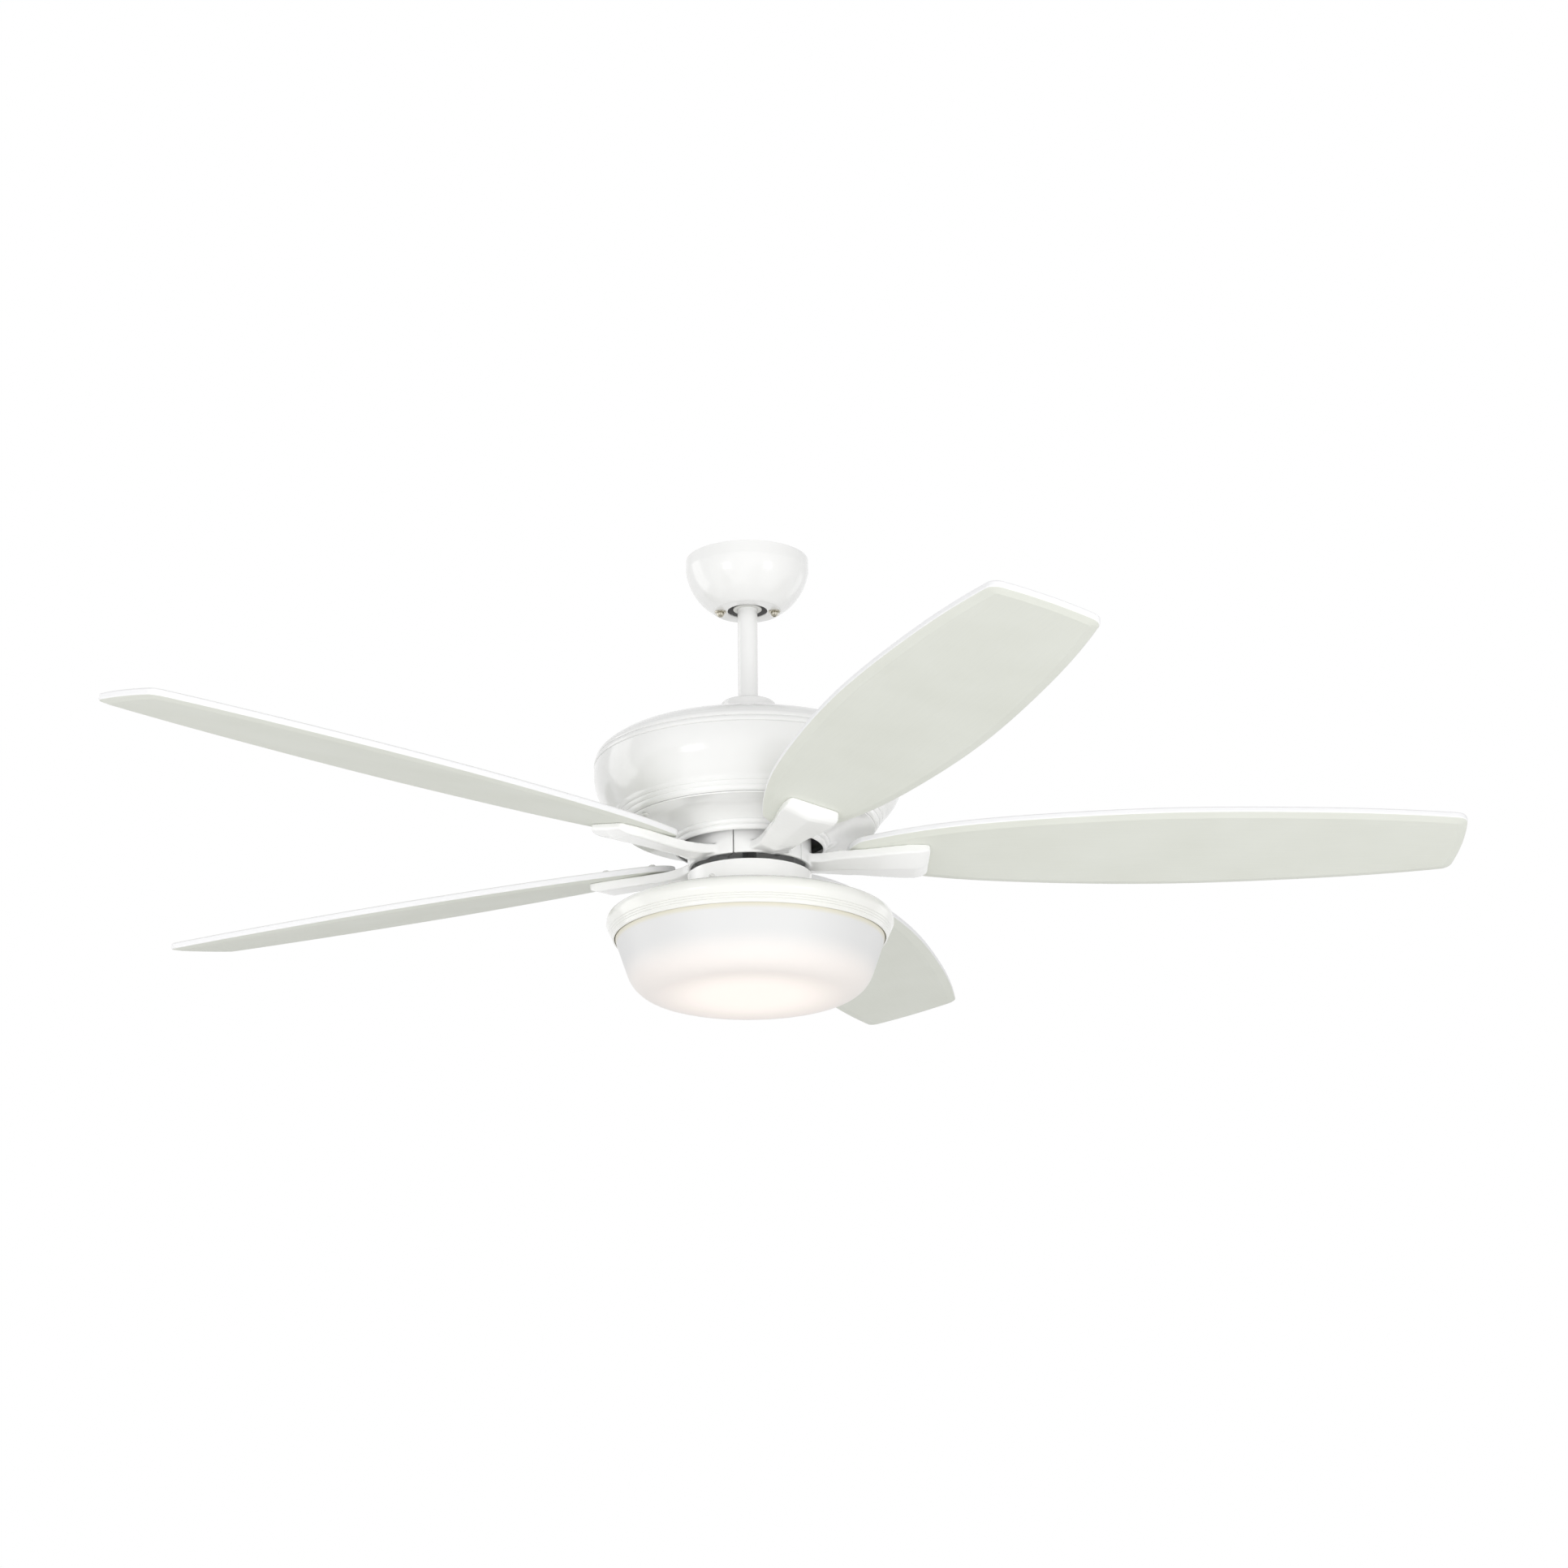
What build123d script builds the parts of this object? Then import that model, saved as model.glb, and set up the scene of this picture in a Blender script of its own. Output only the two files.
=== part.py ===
"""Five-blade ceiling fan with a bowl light, hung on a short downrod.

Lengths are millimetres. The origin is the middle of the face that meets the ceiling, +Z is up,
and the fan hangs below it on the Z axis. Profiles of turned and spun pieces are drawn on the
XZ plane as (radius, height) and revolved about Z.
"""
from build123d import *
from math import asin, cos, degrees, radians, sin, tan
import os

os.makedirs("parts", exist_ok=True)

# ---- clearances
slip = 0.1                      # a fixed piece in its hole
run_gap = 0.3                   # pieces that move past each other
ball_run = 0.05                 # bearing balls in their grooves
air_gap = 0.5                   # stator to rotor

# ---- sheet metal and fasteners
spun_wall = 1.4
plate_wall = 2.5
thread_radius = 2.0
screw_head_radius = 3.9
screw_head_height = 2.6

# ---- canopy and hanger bracket
canopy_radius = 66.0
canopy_height = 55.0
canopy_side = 13.0
canopy_flat_radius = 36.5
canopy_bulge = 5.8
canopy_hole_radius = 21.4
canopy_screw_spacing = 58.0
canopy_washer_radius = 6.4
washer_thickness = 1.0
strap_length = 112.0
strap_width = 30.0
strap_corner = 6.0
slot_spacing = 88.9
slot_length = 14.0
slot_width = 5.5
wire_hole_radius = 9.0
cradle_span = 74.0
cradle_radius = 33.0
cradle_drop = 7.0               # below the ball's centre
ground_screw_offset = 26.0

# ---- hanger ball and downrod
ball_radius = 23.8
ball_above_floor = 25.0         # ball centre above the canopy's floor
ball_top = 9.0
ball_bottom = 17.0
key_width = 4.0
key_reach = 2.4
key_start = 20.0                # key's ends, degrees below the ball's equator
key_end = 32.0
groove_start = -12.0
groove_end = 62.0
socket_low = 36.0               # degrees below the ball's equator
rod_radius = 10.65
rod_wall = 2.0
rod_pin_spacing = 152.4
rod_pin_rise = 3.0              # upper pin above the ball's centre
rod_end = 10.0
pin_radius = 3.0
ball_pin_length = 30.0
set_screw_length = 9.0

# ---- yoke on the motor shaft and its cover
yoke_radius = 15.0
yoke_floor = 18.5               # rod's seat above the housing
yoke_flange_radius = 25.5
yoke_flange_thickness = 5.0
yoke_screw_circle = 20.3
yoke_screw_count = 4
yoke_screw_turn = 45.0
yoke_screw_head_radius = 3.3
clevis_head_radius = 4.6
clevis_head_height = 1.8
clip_wire = 0.8
cover_radius = 29.0
cover_height = 50.0
cover_crown = 6.0
cover_crown_arc = 90.0          # a quarter of an ellipse, degrees
cover_wall = 1.2
cover_bore_gap = 0.35

# ---- motor housing: (radius, drop below the housing's top)
housing_top_radius = 133.8
shoulder_radius = 160.2
shoulder_drop = 14.6
shoulder_bulge = 2.2
top_bead_radius = 163.0
top_bead_drop = 20.2
bead_groove = 0.7
bead_count = 3
belly_start_radius = 164.2
belly_start_drop = 26.8
belly_bulge = 6.9
belly_end_radius = 144.0
belly_end_drop = 79.5
lip_radius = 135.0
lip_drop = 93.0
lip_inner_radius = 118.0
lower_flange_radius = 133.2
cavetto_inner_radius = 84.5
cavetto_drop = 108.0
cavetto_hollow = 3.2
skirt_radius = 79.0
skirt_drop = 118.0
housing_screw_count = 3
housing_screw_circle = 125.0
housing_screw_turn = 90.0

# ---- motor
shaft_radius = 7.5
shaft_bore = 5.0
hanger_plate_radius = 50.0
hanger_plate_thickness = 3.0
bearing_outer_radius = 17.5
bearing_width = 11.0
bearing_ball_radius = 3.0
bearing_ball_count = 7
race_wall = 2.6
upper_bearing_drop = 18.0
motor_joint_drop = 54.0
core_height = 30.0
core_radius = 62.0
core_bore = 22.0
stator_teeth = 16
slot_depth = 18.0
tooth_width = 8.0
slot_mouth = 3.0
tooth_tip = 2.5
coil_thickness = 4.0
coil_overhang = 9.0
rotor_ring_thickness = 11.5
rotor_ring_height = 40.0
motor_wall = 6.0
motor_cover_depth = 36.0
motor_plate = 4.0
motor_flange = 10.0
motor_flange_thickness = 6.0
bearing_hub_wall = 4.0
bearing_lip = 2.0
rotor_screw_count = 6
rotor_screw_turn = 30.0
arm_boss_radius = 62.0
arm_screw_depth = 10.0
arm_seat_drop = 104.0

# ---- blade arms
blade_count = 5
rest_turn = 3.0                 # first blade's place round the axis, degrees
arm_ring_radius = 65.4
arm_ring_wall = 4.0
arm_ring_bottom_drop = 139.0
arm_ring_split = 0.8
arm_foot_radius = 44.0
arm_foot_thickness = 4.0
arm_screw_circle = 53.0
arm_screw_angle = 19.0
arm_wall = 10.0
arm_end_wall = 6.4
arm_ridge = 2.6
arm_edge_round = 2.0
arm_twist_end = 101.0           # full pitch from here out
arm_twist_widths = ((0.0, 36.0), (0.4, 35.0), (1.0, 37.6))
arm_flare_widths = ((101.0, 37.6), (120.0, 41.4), (136.0, 47.0), (152.0, 53.0), (166.0, 56.4))
arm_pad_width = 57.0
arm_pad_start = 178.0
arm_pad_end = 190.0
arm_pad_corner = 8.0

# ---- blades
sweep_radius = 762.0
blade_root = 117.0
blade_root_bow = 14.0
blade_thickness = 9.0
blade_drop = 124.0              # blade's middle plane at the axis, below the housing's top
blade_pitch = 12.2
blade_cone = 1.5
blade_lead = 3.0                # blade's middle line ahead of the arm's
blade_widths = (
    (0.0, 27.5), (0.12, 52.5), (0.3, 70.0), (0.5, 78.0), (0.7, 75.0), (0.88, 66.0), (1.0, 55.0),
)
blade_edge_round = 2.0
blade_bevel_width = 10.0
blade_bevel_height = 2.4
blade_bevel_round = 1.5
blade_tip_corner = 14.0
blade_root_corner = 12.0
blade_tip_bow = 4.5
blade_screw_outer = 172.0
blade_screw_spread = 36.0
blade_screw_inner = 124.0
blade_washer_radius = 6.0

# ---- light kit: drops below the housing's top
adapter_drop = 146.6
adapter_rim = 21.0
adapter_thickness = 2.0
nut_flats = 22.0
nut_height = 8.0
lock_washer_radius = 12.5
lock_washer_thickness = 2.0
neck_radius = 65.4
neck_top_drop = 146.0
neck_wall = 1.2
neck_hole_radius = 50.0
neck_screw_drop = 162.6
neck_screw_count = 3
neck_screw_turn = 233.0         # first side screw's place, degrees
pan_drop = 182.6
pan_radius = 151.0
pan_hole_radius = 40.0
pan_shoulder_width = 33.0       # from the flat top to the pan's side
pan_flat_radius = pan_radius - pan_shoulder_width
pan_shoulder_drop = 15.4
pan_corner_radius = 10.0
pan_rim_drop = 200.0
pan_bottom_drop = 216.0
pan_bottom_inset = 7.6
pan_bottom_radius = pan_radius - pan_bottom_inset
pan_screw_circle = 56.0
pan_screw_count = 3
heat_sink_inset = 25.0          # room for the glass's rim
heat_sink_radius = pan_radius - heat_sink_inset
heat_sink_thickness = 2.5
heat_sink_drop = 196.0
post_inset = 18.0
post_circle = heat_sink_radius - post_inset
post_count = 3
post_turn = 90.0
post_radius = 4.0
led_board_gap = 4.0
led_board_radius = post_circle - post_radius - led_board_gap
led_board_thickness = 1.6
led_size = 5.0
led_height = 0.8
led_edge_gap = 8.0
led_ring_steps = (0.0, 32.0, 30.0)
led_ring_counts = (18, 12, 6)
driver_length = 60.0
driver_width = 34.0
driver_height = 11.0
driver_circle = 82.0
capacitor_length = 36.0
capacitor_width = 18.0
capacitor_height = 22.0
receiver_length = 38.0
receiver_width = 36.0
receiver_height = 16.0
module_circle = 34.0
module_corner = 2.0

# ---- glass bowl
glass_side_gap = 1.9
glass_rim_radius = pan_bottom_radius - glass_side_gap
glass_wall = 4.0
glass_rim_rise = 14.0
glass_lean = 18.9               # wall from upright, degrees
glass_corner_radius = 36.0
glass_height = 60.7             # below the pan's lower edge
lug_count = 3
lug_angle = 22.0
lug_turn = 90.0
lug_reach = 4.0
lug_height = 4.0
tab_rise = 8.4                  # top of the pan's tabs above its lower edge

# ---- heights worked out from the above
ball_z = -(canopy_height - ball_above_floor)
cradle_z = ball_z - cradle_drop
upper_pin_z = ball_z + rod_pin_rise
lower_pin_z = upper_pin_z - rod_pin_spacing
rod_top_z = upper_pin_z + rod_end
rod_bottom_z = lower_pin_z - rod_end
rod_length = rod_top_z - rod_bottom_z
housing_z = rod_bottom_z - slip - yoke_floor

# =====================================================================================
# Hanger bracket: pressed steel strap with two legs and a cradle for the ball. The cradle is
# open on one side so that the rod slips in, and a key in it stops the ball from turning.
socket_radius = ball_radius + run_gap
socket_outer = socket_radius + plate_wall
canopy_screw_places = [(-canopy_screw_spacing / 2, 0), (canopy_screw_spacing / 2, 0)]


def ball_sector(inner, outer, start, end):
    """Part of a ring about the ball's centre on its -Y side, between two angles below level."""
    with Locations((0, ball_z)):
        Circle(outer)
        Circle(inner, mode=Mode.SUBTRACT)
        reach = 2 * outer
        corners = [(-reach * cos(radians(turn)), -reach * sin(radians(turn))) for turn in (start, end)]
        Polygon((0, 0), *corners, align=None, mode=Mode.INTERSECT)


with BuildPart() as hanger_bracket:
    with BuildSketch() as strap:
        Rectangle(strap_length, strap_width)
        fillet(strap.vertices(), strap_corner)
        with Locations((-slot_spacing / 2, 0), (slot_spacing / 2, 0)):
            SlotOverall(slot_length, slot_width, mode=Mode.SUBTRACT)
        Circle(wire_hole_radius, mode=Mode.SUBTRACT)
    extrude(amount=-plate_wall)
    with BuildSketch():
        with Locations(*[(side * (cradle_span - plate_wall) / 2, 0) for side in (-1, 1)]):
            Rectangle(plate_wall, strap_width)
    extrude(amount=cradle_z - plate_wall)
    with BuildSketch(Plane.XY.offset(cradle_z)):
        Rectangle(cradle_span, strap_width)
        Circle(cradle_radius)
    extrude(amount=-plate_wall)
    with BuildSketch(Plane.YZ):
        ball_sector(socket_radius, socket_outer, degrees(asin(cradle_drop / socket_outer)), socket_low)
    revolve(axis=Axis.Z)
    with BuildSketch(Plane.XY.offset(ball_z)):
        Circle(socket_radius * cos(radians(socket_low)))
    extrude(amount=-2 * ball_radius, mode=Mode.SUBTRACT)
    with Locations((0, 0, ball_z)):
        Sphere(socket_radius, mode=Mode.SUBTRACT)
    with BuildSketch(Plane.XY.offset(ball_z)):
        with Locations((0, cradle_radius)):
            Rectangle(2 * rod_radius + plate_wall, 2 * cradle_radius)
    extrude(amount=-2 * ball_radius, mode=Mode.SUBTRACT)
    with BuildSketch(Plane.YZ):
        ball_sector(socket_radius - key_reach, socket_radius + plate_wall / 2, key_start, key_end)
    extrude(amount=key_width / 2, both=True)
    with Locations(*[(x, y, cradle_z) for x, y in canopy_screw_places]):
        Hole(thread_radius + slip, depth=plate_wall)
    with Locations((-ground_screw_offset, 0, 0)):
        Hole(thread_radius + slip, depth=plate_wall)
hanger_bracket.part.label = "hanger_bracket"
export_step(hanger_bracket.part, "parts/hanger_bracket.step")


# =====================================================================================
# Fasteners: plain screws that stand upright, given by the places of their axes.
def round_places(radius, count, start=0.0):
    """Evenly spaced points on a circle about the Z axis, from a start angle in degrees."""
    turns = [radians(start + 360 * number / count) for number in range(count)]
    return [(radius * cos(turn), radius * sin(turn)) for turn in turns]


def upright_screws(places, seat, length, head_radius=screw_head_radius):
    """Screws whose heads meet the seat height; they run up for a length over 0, else down."""
    head = -screw_head_height if length > 0 else screw_head_height
    with BuildPart() as screws:
        with BuildSketch(Plane.XY.offset(seat)):
            with Locations(*places):
                Circle(thread_radius)
        extrude(amount=length)
        with BuildSketch(Plane.XY.offset(seat)):
            with Locations(*places):
                Circle(head_radius)
        extrude(amount=head)
    return screws


ground_screw = upright_screws([(-ground_screw_offset, 0)], -plate_wall, plate_wall - slip)
ground_screw.part.label = "ground_screw"
export_step(ground_screw.part, "parts/ground_screw.step")

# =====================================================================================
# Canopy: a spun steel cup, open to the ceiling, with a hole in its floor for the rod and two
# screws up into the cradle.
with BuildPart() as canopy:
    with BuildSketch(Plane.XZ):
        for inset, mode in ((0, Mode.ADD), (spun_wall, Mode.SUBTRACT)):
            with BuildLine():
                rim = Line((0, 0), (canopy_radius - inset, 0))
                side = Line(rim @ 1, (canopy_radius - inset, -canopy_side))
                bowl_end = (canopy_flat_radius - inset / 2, inset - canopy_height)
                bowl = SagittaArc(side @ 1, bowl_end, canopy_bulge)
                floor = Line(bowl @ 1, (0, inset - canopy_height))
                Line(floor @ 1, rim @ 0)
            make_face(mode=mode)
    revolve(axis=Axis.Z)
    with Locations((0, 0, -canopy_height)):
        Hole(canopy_hole_radius)
    with Locations(*[(x, y, -canopy_height) for x, y in canopy_screw_places]):
        Hole(thread_radius + run_gap)
canopy.part.label = "canopy"
export_step(canopy.part, "parts/canopy.step")

with BuildPart() as canopy_washers:
    with BuildSketch(Plane.XY.offset(-canopy_height)):
        with Locations(*canopy_screw_places):
            Circle(canopy_washer_radius)
            Circle(thread_radius + run_gap, mode=Mode.SUBTRACT)
    extrude(amount=-washer_thickness)
canopy_washers.part.label = "canopy_washers"
export_step(canopy_washers.part, "parts/canopy_washers.step")

canopy_screw_seat = -canopy_height - washer_thickness
canopy_screws = upright_screws(canopy_screw_places, canopy_screw_seat, cradle_z - canopy_screw_seat)
canopy_screws.part.label = "canopy_screws"
export_step(canopy_screws.part, "parts/canopy_screws.step")

# =====================================================================================
# Hanger ball: a moulded ball on the top of the rod. A cross pin through the rod lies in a slot
# in its top, a set screw locks it, and a groove down one side rides on the cradle's key.
with BuildPart() as hanger_ball:
    with Locations((0, 0, ball_z)):
        Sphere(ball_radius)
    with Locations((0, 0, ball_z + (ball_top - ball_bottom) / 2)):
        Box(2 * ball_radius, 2 * ball_radius, ball_top + ball_bottom, mode=Mode.INTERSECT)
    with Locations((0, 0, ball_z)):
        Hole(rod_radius + slip)
    with BuildSketch(Plane.YZ):
        with Locations((0, upper_pin_z)):
            Circle(pin_radius + slip)
        with Locations((0, upper_pin_z + ball_top / 2)):
            Rectangle(2 * (pin_radius + slip), ball_top)
    extrude(amount=ball_pin_length / 2 + slip, both=True, mode=Mode.SUBTRACT)
    with BuildSketch(Plane.YZ):
        groove_floor = socket_radius - key_reach - run_gap - ball_run
        ball_sector(groove_floor, 2 * ball_radius, groove_start, groove_end)
    extrude(amount=key_width / 2 + run_gap, both=True, mode=Mode.SUBTRACT)
    with BuildSketch(Plane.XZ.offset(-rod_radius)):
        with Locations((0, ball_z)):
            Circle(thread_radius + slip)
    extrude(amount=-ball_radius, mode=Mode.SUBTRACT)
hanger_ball.part.label = "hanger_ball"
export_step(hanger_ball.part, "parts/hanger_ball.step")

with BuildPart() as ball_cross_pin:
    with BuildSketch(Plane.YZ):
        with Locations((0, upper_pin_z)):
            Circle(pin_radius)
    extrude(amount=ball_pin_length / 2, both=True)
ball_cross_pin.part.label = "ball_cross_pin"
export_step(ball_cross_pin.part, "parts/ball_cross_pin.step")

with BuildPart() as ball_set_screw:
    with BuildSketch(Plane.XZ.offset(-rod_radius - slip)):
        with Locations((0, ball_z)):
            Circle(thread_radius)
    extrude(amount=-set_screw_length)
ball_set_screw.part.label = "ball_set_screw"
export_step(ball_set_screw.part, "parts/ball_set_screw.step")

# Downrod: steel tube with a cross hole near each end.
with BuildPart() as downrod:
    with BuildSketch(Plane.XY.offset(rod_top_z)):
        Circle(rod_radius)
        Circle(rod_radius - rod_wall, mode=Mode.SUBTRACT)
    extrude(amount=-rod_length)
    with BuildSketch(Plane.YZ):
        with Locations((0, upper_pin_z), (0, lower_pin_z)):
            Circle(pin_radius + slip)
    extrude(amount=rod_radius, both=True, mode=Mode.SUBTRACT)
downrod.part.label = "downrod"
export_step(downrod.part, "parts/downrod.step")

# =====================================================================================
# Motor yoke: a cast socket screwed to the top of the housing. The rod stands in it on a step,
# held by a clevis pin and a hairpin clip.
rod_seat_z = rod_bottom_z - slip
yoke_screw_places = round_places(yoke_screw_circle, yoke_screw_count, yoke_screw_turn)
with BuildPart() as motor_yoke:
    with BuildSketch(Plane.XZ):
        with BuildLine():
            Polyline(
                (rod_radius + slip, lower_pin_z + rod_end),
                (yoke_radius, lower_pin_z + rod_end),
                (yoke_radius, housing_z + yoke_flange_thickness),
                (yoke_flange_radius, housing_z + yoke_flange_thickness),
                (yoke_flange_radius, housing_z),
                (shaft_radius + slip, housing_z),
                (shaft_radius + slip, rod_seat_z),
                (rod_radius + slip, rod_seat_z),
                close=True,
            )
        make_face()
    revolve(axis=Axis.Z)
    with BuildSketch(Plane.YZ):
        with Locations((0, lower_pin_z)):
            Circle(pin_radius + slip)
    extrude(amount=2 * yoke_radius, both=True, mode=Mode.SUBTRACT)
    with Locations(*[(x, y, housing_z + yoke_flange_thickness) for x, y in yoke_screw_places]):
        Hole(thread_radius + slip, depth=yoke_flange_thickness)
    fillet(motor_yoke.edges().group_by(Axis.Z)[-1], washer_thickness / 2)
motor_yoke.part.label = "motor_yoke"
export_step(motor_yoke.part, "parts/motor_yoke.step")

clip_x = yoke_radius + clip_wire + pin_radius / 2
with BuildPart() as clevis_pin:
    with BuildSketch(Plane.YZ.offset(-yoke_radius)):
        with Locations((0, lower_pin_z)):
            Circle(pin_radius)
    extrude(amount=yoke_radius + clip_x + pin_radius)
    with BuildSketch(Plane.YZ.offset(-yoke_radius)):
        with Locations((0, lower_pin_z)):
            Circle(clevis_head_radius)
    extrude(amount=-clevis_head_height)
    with Locations((clip_x, 0, lower_pin_z)):
        Hole(clip_wire + slip)
clevis_pin.part.label = "clevis_pin"
export_step(clevis_pin.part, "parts/clevis_pin.step")

clip_loop = pin_radius + clip_wire + slip
with BuildPart() as hairpin_clip:
    with BuildLine(Plane.YZ.offset(clip_x)):
        inner_leg = Line((0, lower_pin_z + 2 * pin_radius), (0, lower_pin_z - 2 * pin_radius))
        bend = JernArc(inner_leg @ 1, inner_leg % 1, clip_loop / 2, 180)
        Line(bend @ 1, (clip_loop, lower_pin_z + 2 * pin_radius))
    with BuildSketch(Plane(origin=inner_leg @ 0, z_dir=inner_leg % 0)):
        Circle(clip_wire)
    sweep()
hairpin_clip.part.label = "hairpin_clip"
export_step(hairpin_clip.part, "parts/hairpin_clip.step")

yoke_screw_length = yoke_flange_thickness + spun_wall + hanger_plate_thickness
yoke_screws = upright_screws(
    yoke_screw_places, housing_z + yoke_flange_thickness, -yoke_screw_length, yoke_screw_head_radius
)
yoke_screws.part.label = "yoke_screws"
export_step(yoke_screws.part, "parts/yoke_screws.step")

# Coupling cover: a spun bell that hides the yoke. It slides up the rod and rests on the housing.
with BuildPart() as coupling_cover:
    with BuildSketch(Plane.XZ):
        for inset, mode in ((0, Mode.ADD), (cover_wall, Mode.SUBTRACT)):
            crown_z = housing_z + cover_height - cover_crown
            with BuildLine():
                base = Line((0, housing_z + run_gap), (cover_radius - inset, housing_z + run_gap))
                side = Line(base @ 1, (cover_radius - inset, crown_z))
                crown = EllipticalCenterArc(
                    (0, crown_z), cover_radius - inset, cover_crown - inset, arc_size=cover_crown_arc
                )
                Line(crown @ 1, base @ 0)
            make_face(mode=mode)
    revolve(axis=Axis.Z)
    with Locations((0, 0, housing_z + cover_height)):
        Hole(rod_radius + cover_bore_gap)
coupling_cover.part.label = "coupling_cover"
export_step(coupling_cover.part, "parts/coupling_cover.step")

# =====================================================================================
# Motor housing: two spun shells, joined at a lip under the belly by three screws.
def bead_row(start, end, count):
    """Points that divide a straight slope into equal beads."""
    step = ((end[0] - start[0]) / count, (end[1] - start[1]) / count)
    return [(start[0] + step[0] * n, start[1] + step[1] * n) for n in range(count + 1)]


housing_beads = bead_row(
    (belly_end_radius, housing_z - belly_end_drop), (lip_radius, housing_z - lip_drop), bead_count
)
housing_screw_places = round_places(housing_screw_circle, housing_screw_count, housing_screw_turn)
with BuildPart() as motor_housing_upper:
    with BuildSketch(Plane.XZ):
        with BuildLine():
            top = Line((shaft_radius + slip, housing_z), (housing_top_radius, housing_z))
            shoulder_end = (shoulder_radius, housing_z - shoulder_drop)
            shoulder = SagittaArc(top @ 1, shoulder_end, shoulder_bulge)
            side = Line(shoulder @ 1, (top_bead_radius, housing_z - top_bead_drop))
            band = Line(side @ 1, (belly_start_radius, housing_z - belly_start_drop))
            SagittaArc(band @ 1, housing_beads[0], belly_bulge)
            for start, end in zip(housing_beads, housing_beads[1:]):
                SagittaArc(start, end, bead_groove)
            Line(housing_beads[-1], (lip_inner_radius, housing_z - lip_drop))
            offset(amount=spun_wall, side=Side.RIGHT)
        make_face()
    revolve(axis=Axis.Z)
    with BuildSketch(Plane.XZ):
        with Locations(side @ 1, band @ 1):
            Circle(bead_groove)
    revolve(axis=Axis.Z, mode=Mode.SUBTRACT)
    with Locations(*[(x, y, housing_z) for x, y in yoke_screw_places]):
        Hole(thread_radius + slip, depth=2 * spun_wall)
    with Locations(*[(x, y, housing_z - lip_drop + spun_wall) for x, y in housing_screw_places]):
        Hole(thread_radius + slip, depth=2 * spun_wall)
motor_housing_upper.part.label = "motor_housing_upper"
export_step(motor_housing_upper.part, "parts/motor_housing_upper.step")

flange_bottom = housing_z - lip_drop - spun_wall
with BuildPart() as motor_housing_lower:
    with BuildSketch(Plane.XZ):
        with BuildLine():
            flange = Line((lower_flange_radius, flange_bottom), (lip_inner_radius, flange_bottom))
            cavetto_end = (cavetto_inner_radius, housing_z - cavetto_drop)
            cavetto = SagittaArc(flange @ 1, cavetto_end, -cavetto_hollow)
            SagittaArc(cavetto @ 1, (skirt_radius, housing_z - skirt_drop), spun_wall)
            offset(amount=spun_wall, side=Side.RIGHT)
        make_face()
    revolve(axis=Axis.Z)
    with Locations(*[(x, y, housing_z - lip_drop) for x, y in housing_screw_places]):
        Hole(thread_radius + slip, depth=2 * spun_wall)
motor_housing_lower.part.label = "motor_housing_lower"
export_step(motor_housing_lower.part, "parts/motor_housing_lower.step")

housing_screws = upright_screws(housing_screw_places, flange_bottom, 3 * spun_wall)
housing_screws.part.label = "housing_screws"
export_step(housing_screws.part, "parts/housing_screws.step")

# Plate inside the housing's top that takes the yoke screws.
with BuildPart() as housing_hanger_plate:
    with BuildSketch(Plane.XY.offset(housing_z - spun_wall)):
        Circle(hanger_plate_radius)
        Circle(shaft_radius + slip, mode=Mode.SUBTRACT)
        with Locations(*yoke_screw_places):
            Circle(thread_radius + slip, mode=Mode.SUBTRACT)
    extrude(amount=-hanger_plate_thickness)
housing_hanger_plate.part.label = "housing_hanger_plate"
export_step(housing_hanger_plate.part, "parts/housing_hanger_plate.step")

# =====================================================================================
# Motor: the hollow shaft and the wound core stand still; the covers, the ring and the arms
# turn about them on two ball bearings.
motor_z = housing_z - motor_joint_drop
upper_bearing_z = housing_z - upper_bearing_drop
lower_bearing_z = 2 * motor_z - upper_bearing_z
adapter_z = housing_z - adapter_drop
adapter_bottom = adapter_z - adapter_thickness
nut_bottom = adapter_bottom - lock_washer_thickness - nut_height
shaft_top = rod_seat_z - slip
shaft_bottom = nut_bottom - plate_wall

with BuildPart() as motor_shaft:
    with BuildSketch(Plane.XY.offset(shaft_top)):
        Circle(shaft_radius)
    extrude(amount=shaft_bottom - shaft_top)
    with BuildSketch(Plane.XY.offset(motor_z)):
        Circle(core_bore)
    extrude(amount=core_height / 2, both=True)
    with BuildSketch(Plane.XY.offset(shaft_top)):
        Circle(shaft_bore)
    extrude(amount=shaft_bottom - shaft_top, mode=Mode.SUBTRACT)
    with BuildSketch(Plane.YZ):
        with Locations((0, (upper_bearing_z - bearing_width / 2 + motor_z + core_height / 2) / 2)):
            Circle(thread_radius)
    extrude(amount=shaft_radius, mode=Mode.SUBTRACT)
    chamfer(motor_shaft.edges().group_by(Axis.Z)[0].sort_by(SortBy.RADIUS)[-1], washer_thickness)
motor_shaft.part.label = "motor_shaft"
export_step(motor_shaft.part, "parts/motor_shaft.step")

tooth_root = core_radius - slot_depth
with BuildPart() as stator_core:
    with BuildSketch(Plane.XY.offset(motor_z)):
        Circle(core_radius)
        Circle(core_radius - tooth_tip, mode=Mode.SUBTRACT)
        with PolarLocations((tooth_root + core_radius) / 2, stator_teeth):
            Rectangle(slot_depth + 2 * tooth_tip, tooth_width)
        with PolarLocations(core_radius, stator_teeth, start_angle=180 / stator_teeth):
            Rectangle(3 * tooth_tip, slot_mouth, mode=Mode.SUBTRACT)
        Circle(core_radius, mode=Mode.INTERSECT)
        Circle(tooth_root)
        Circle(core_bore + slip, mode=Mode.SUBTRACT)
    extrude(amount=core_height / 2, both=True)
stator_core.part.label = "stator_core"
export_step(stator_core.part, "parts/stator_core.step")

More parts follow.
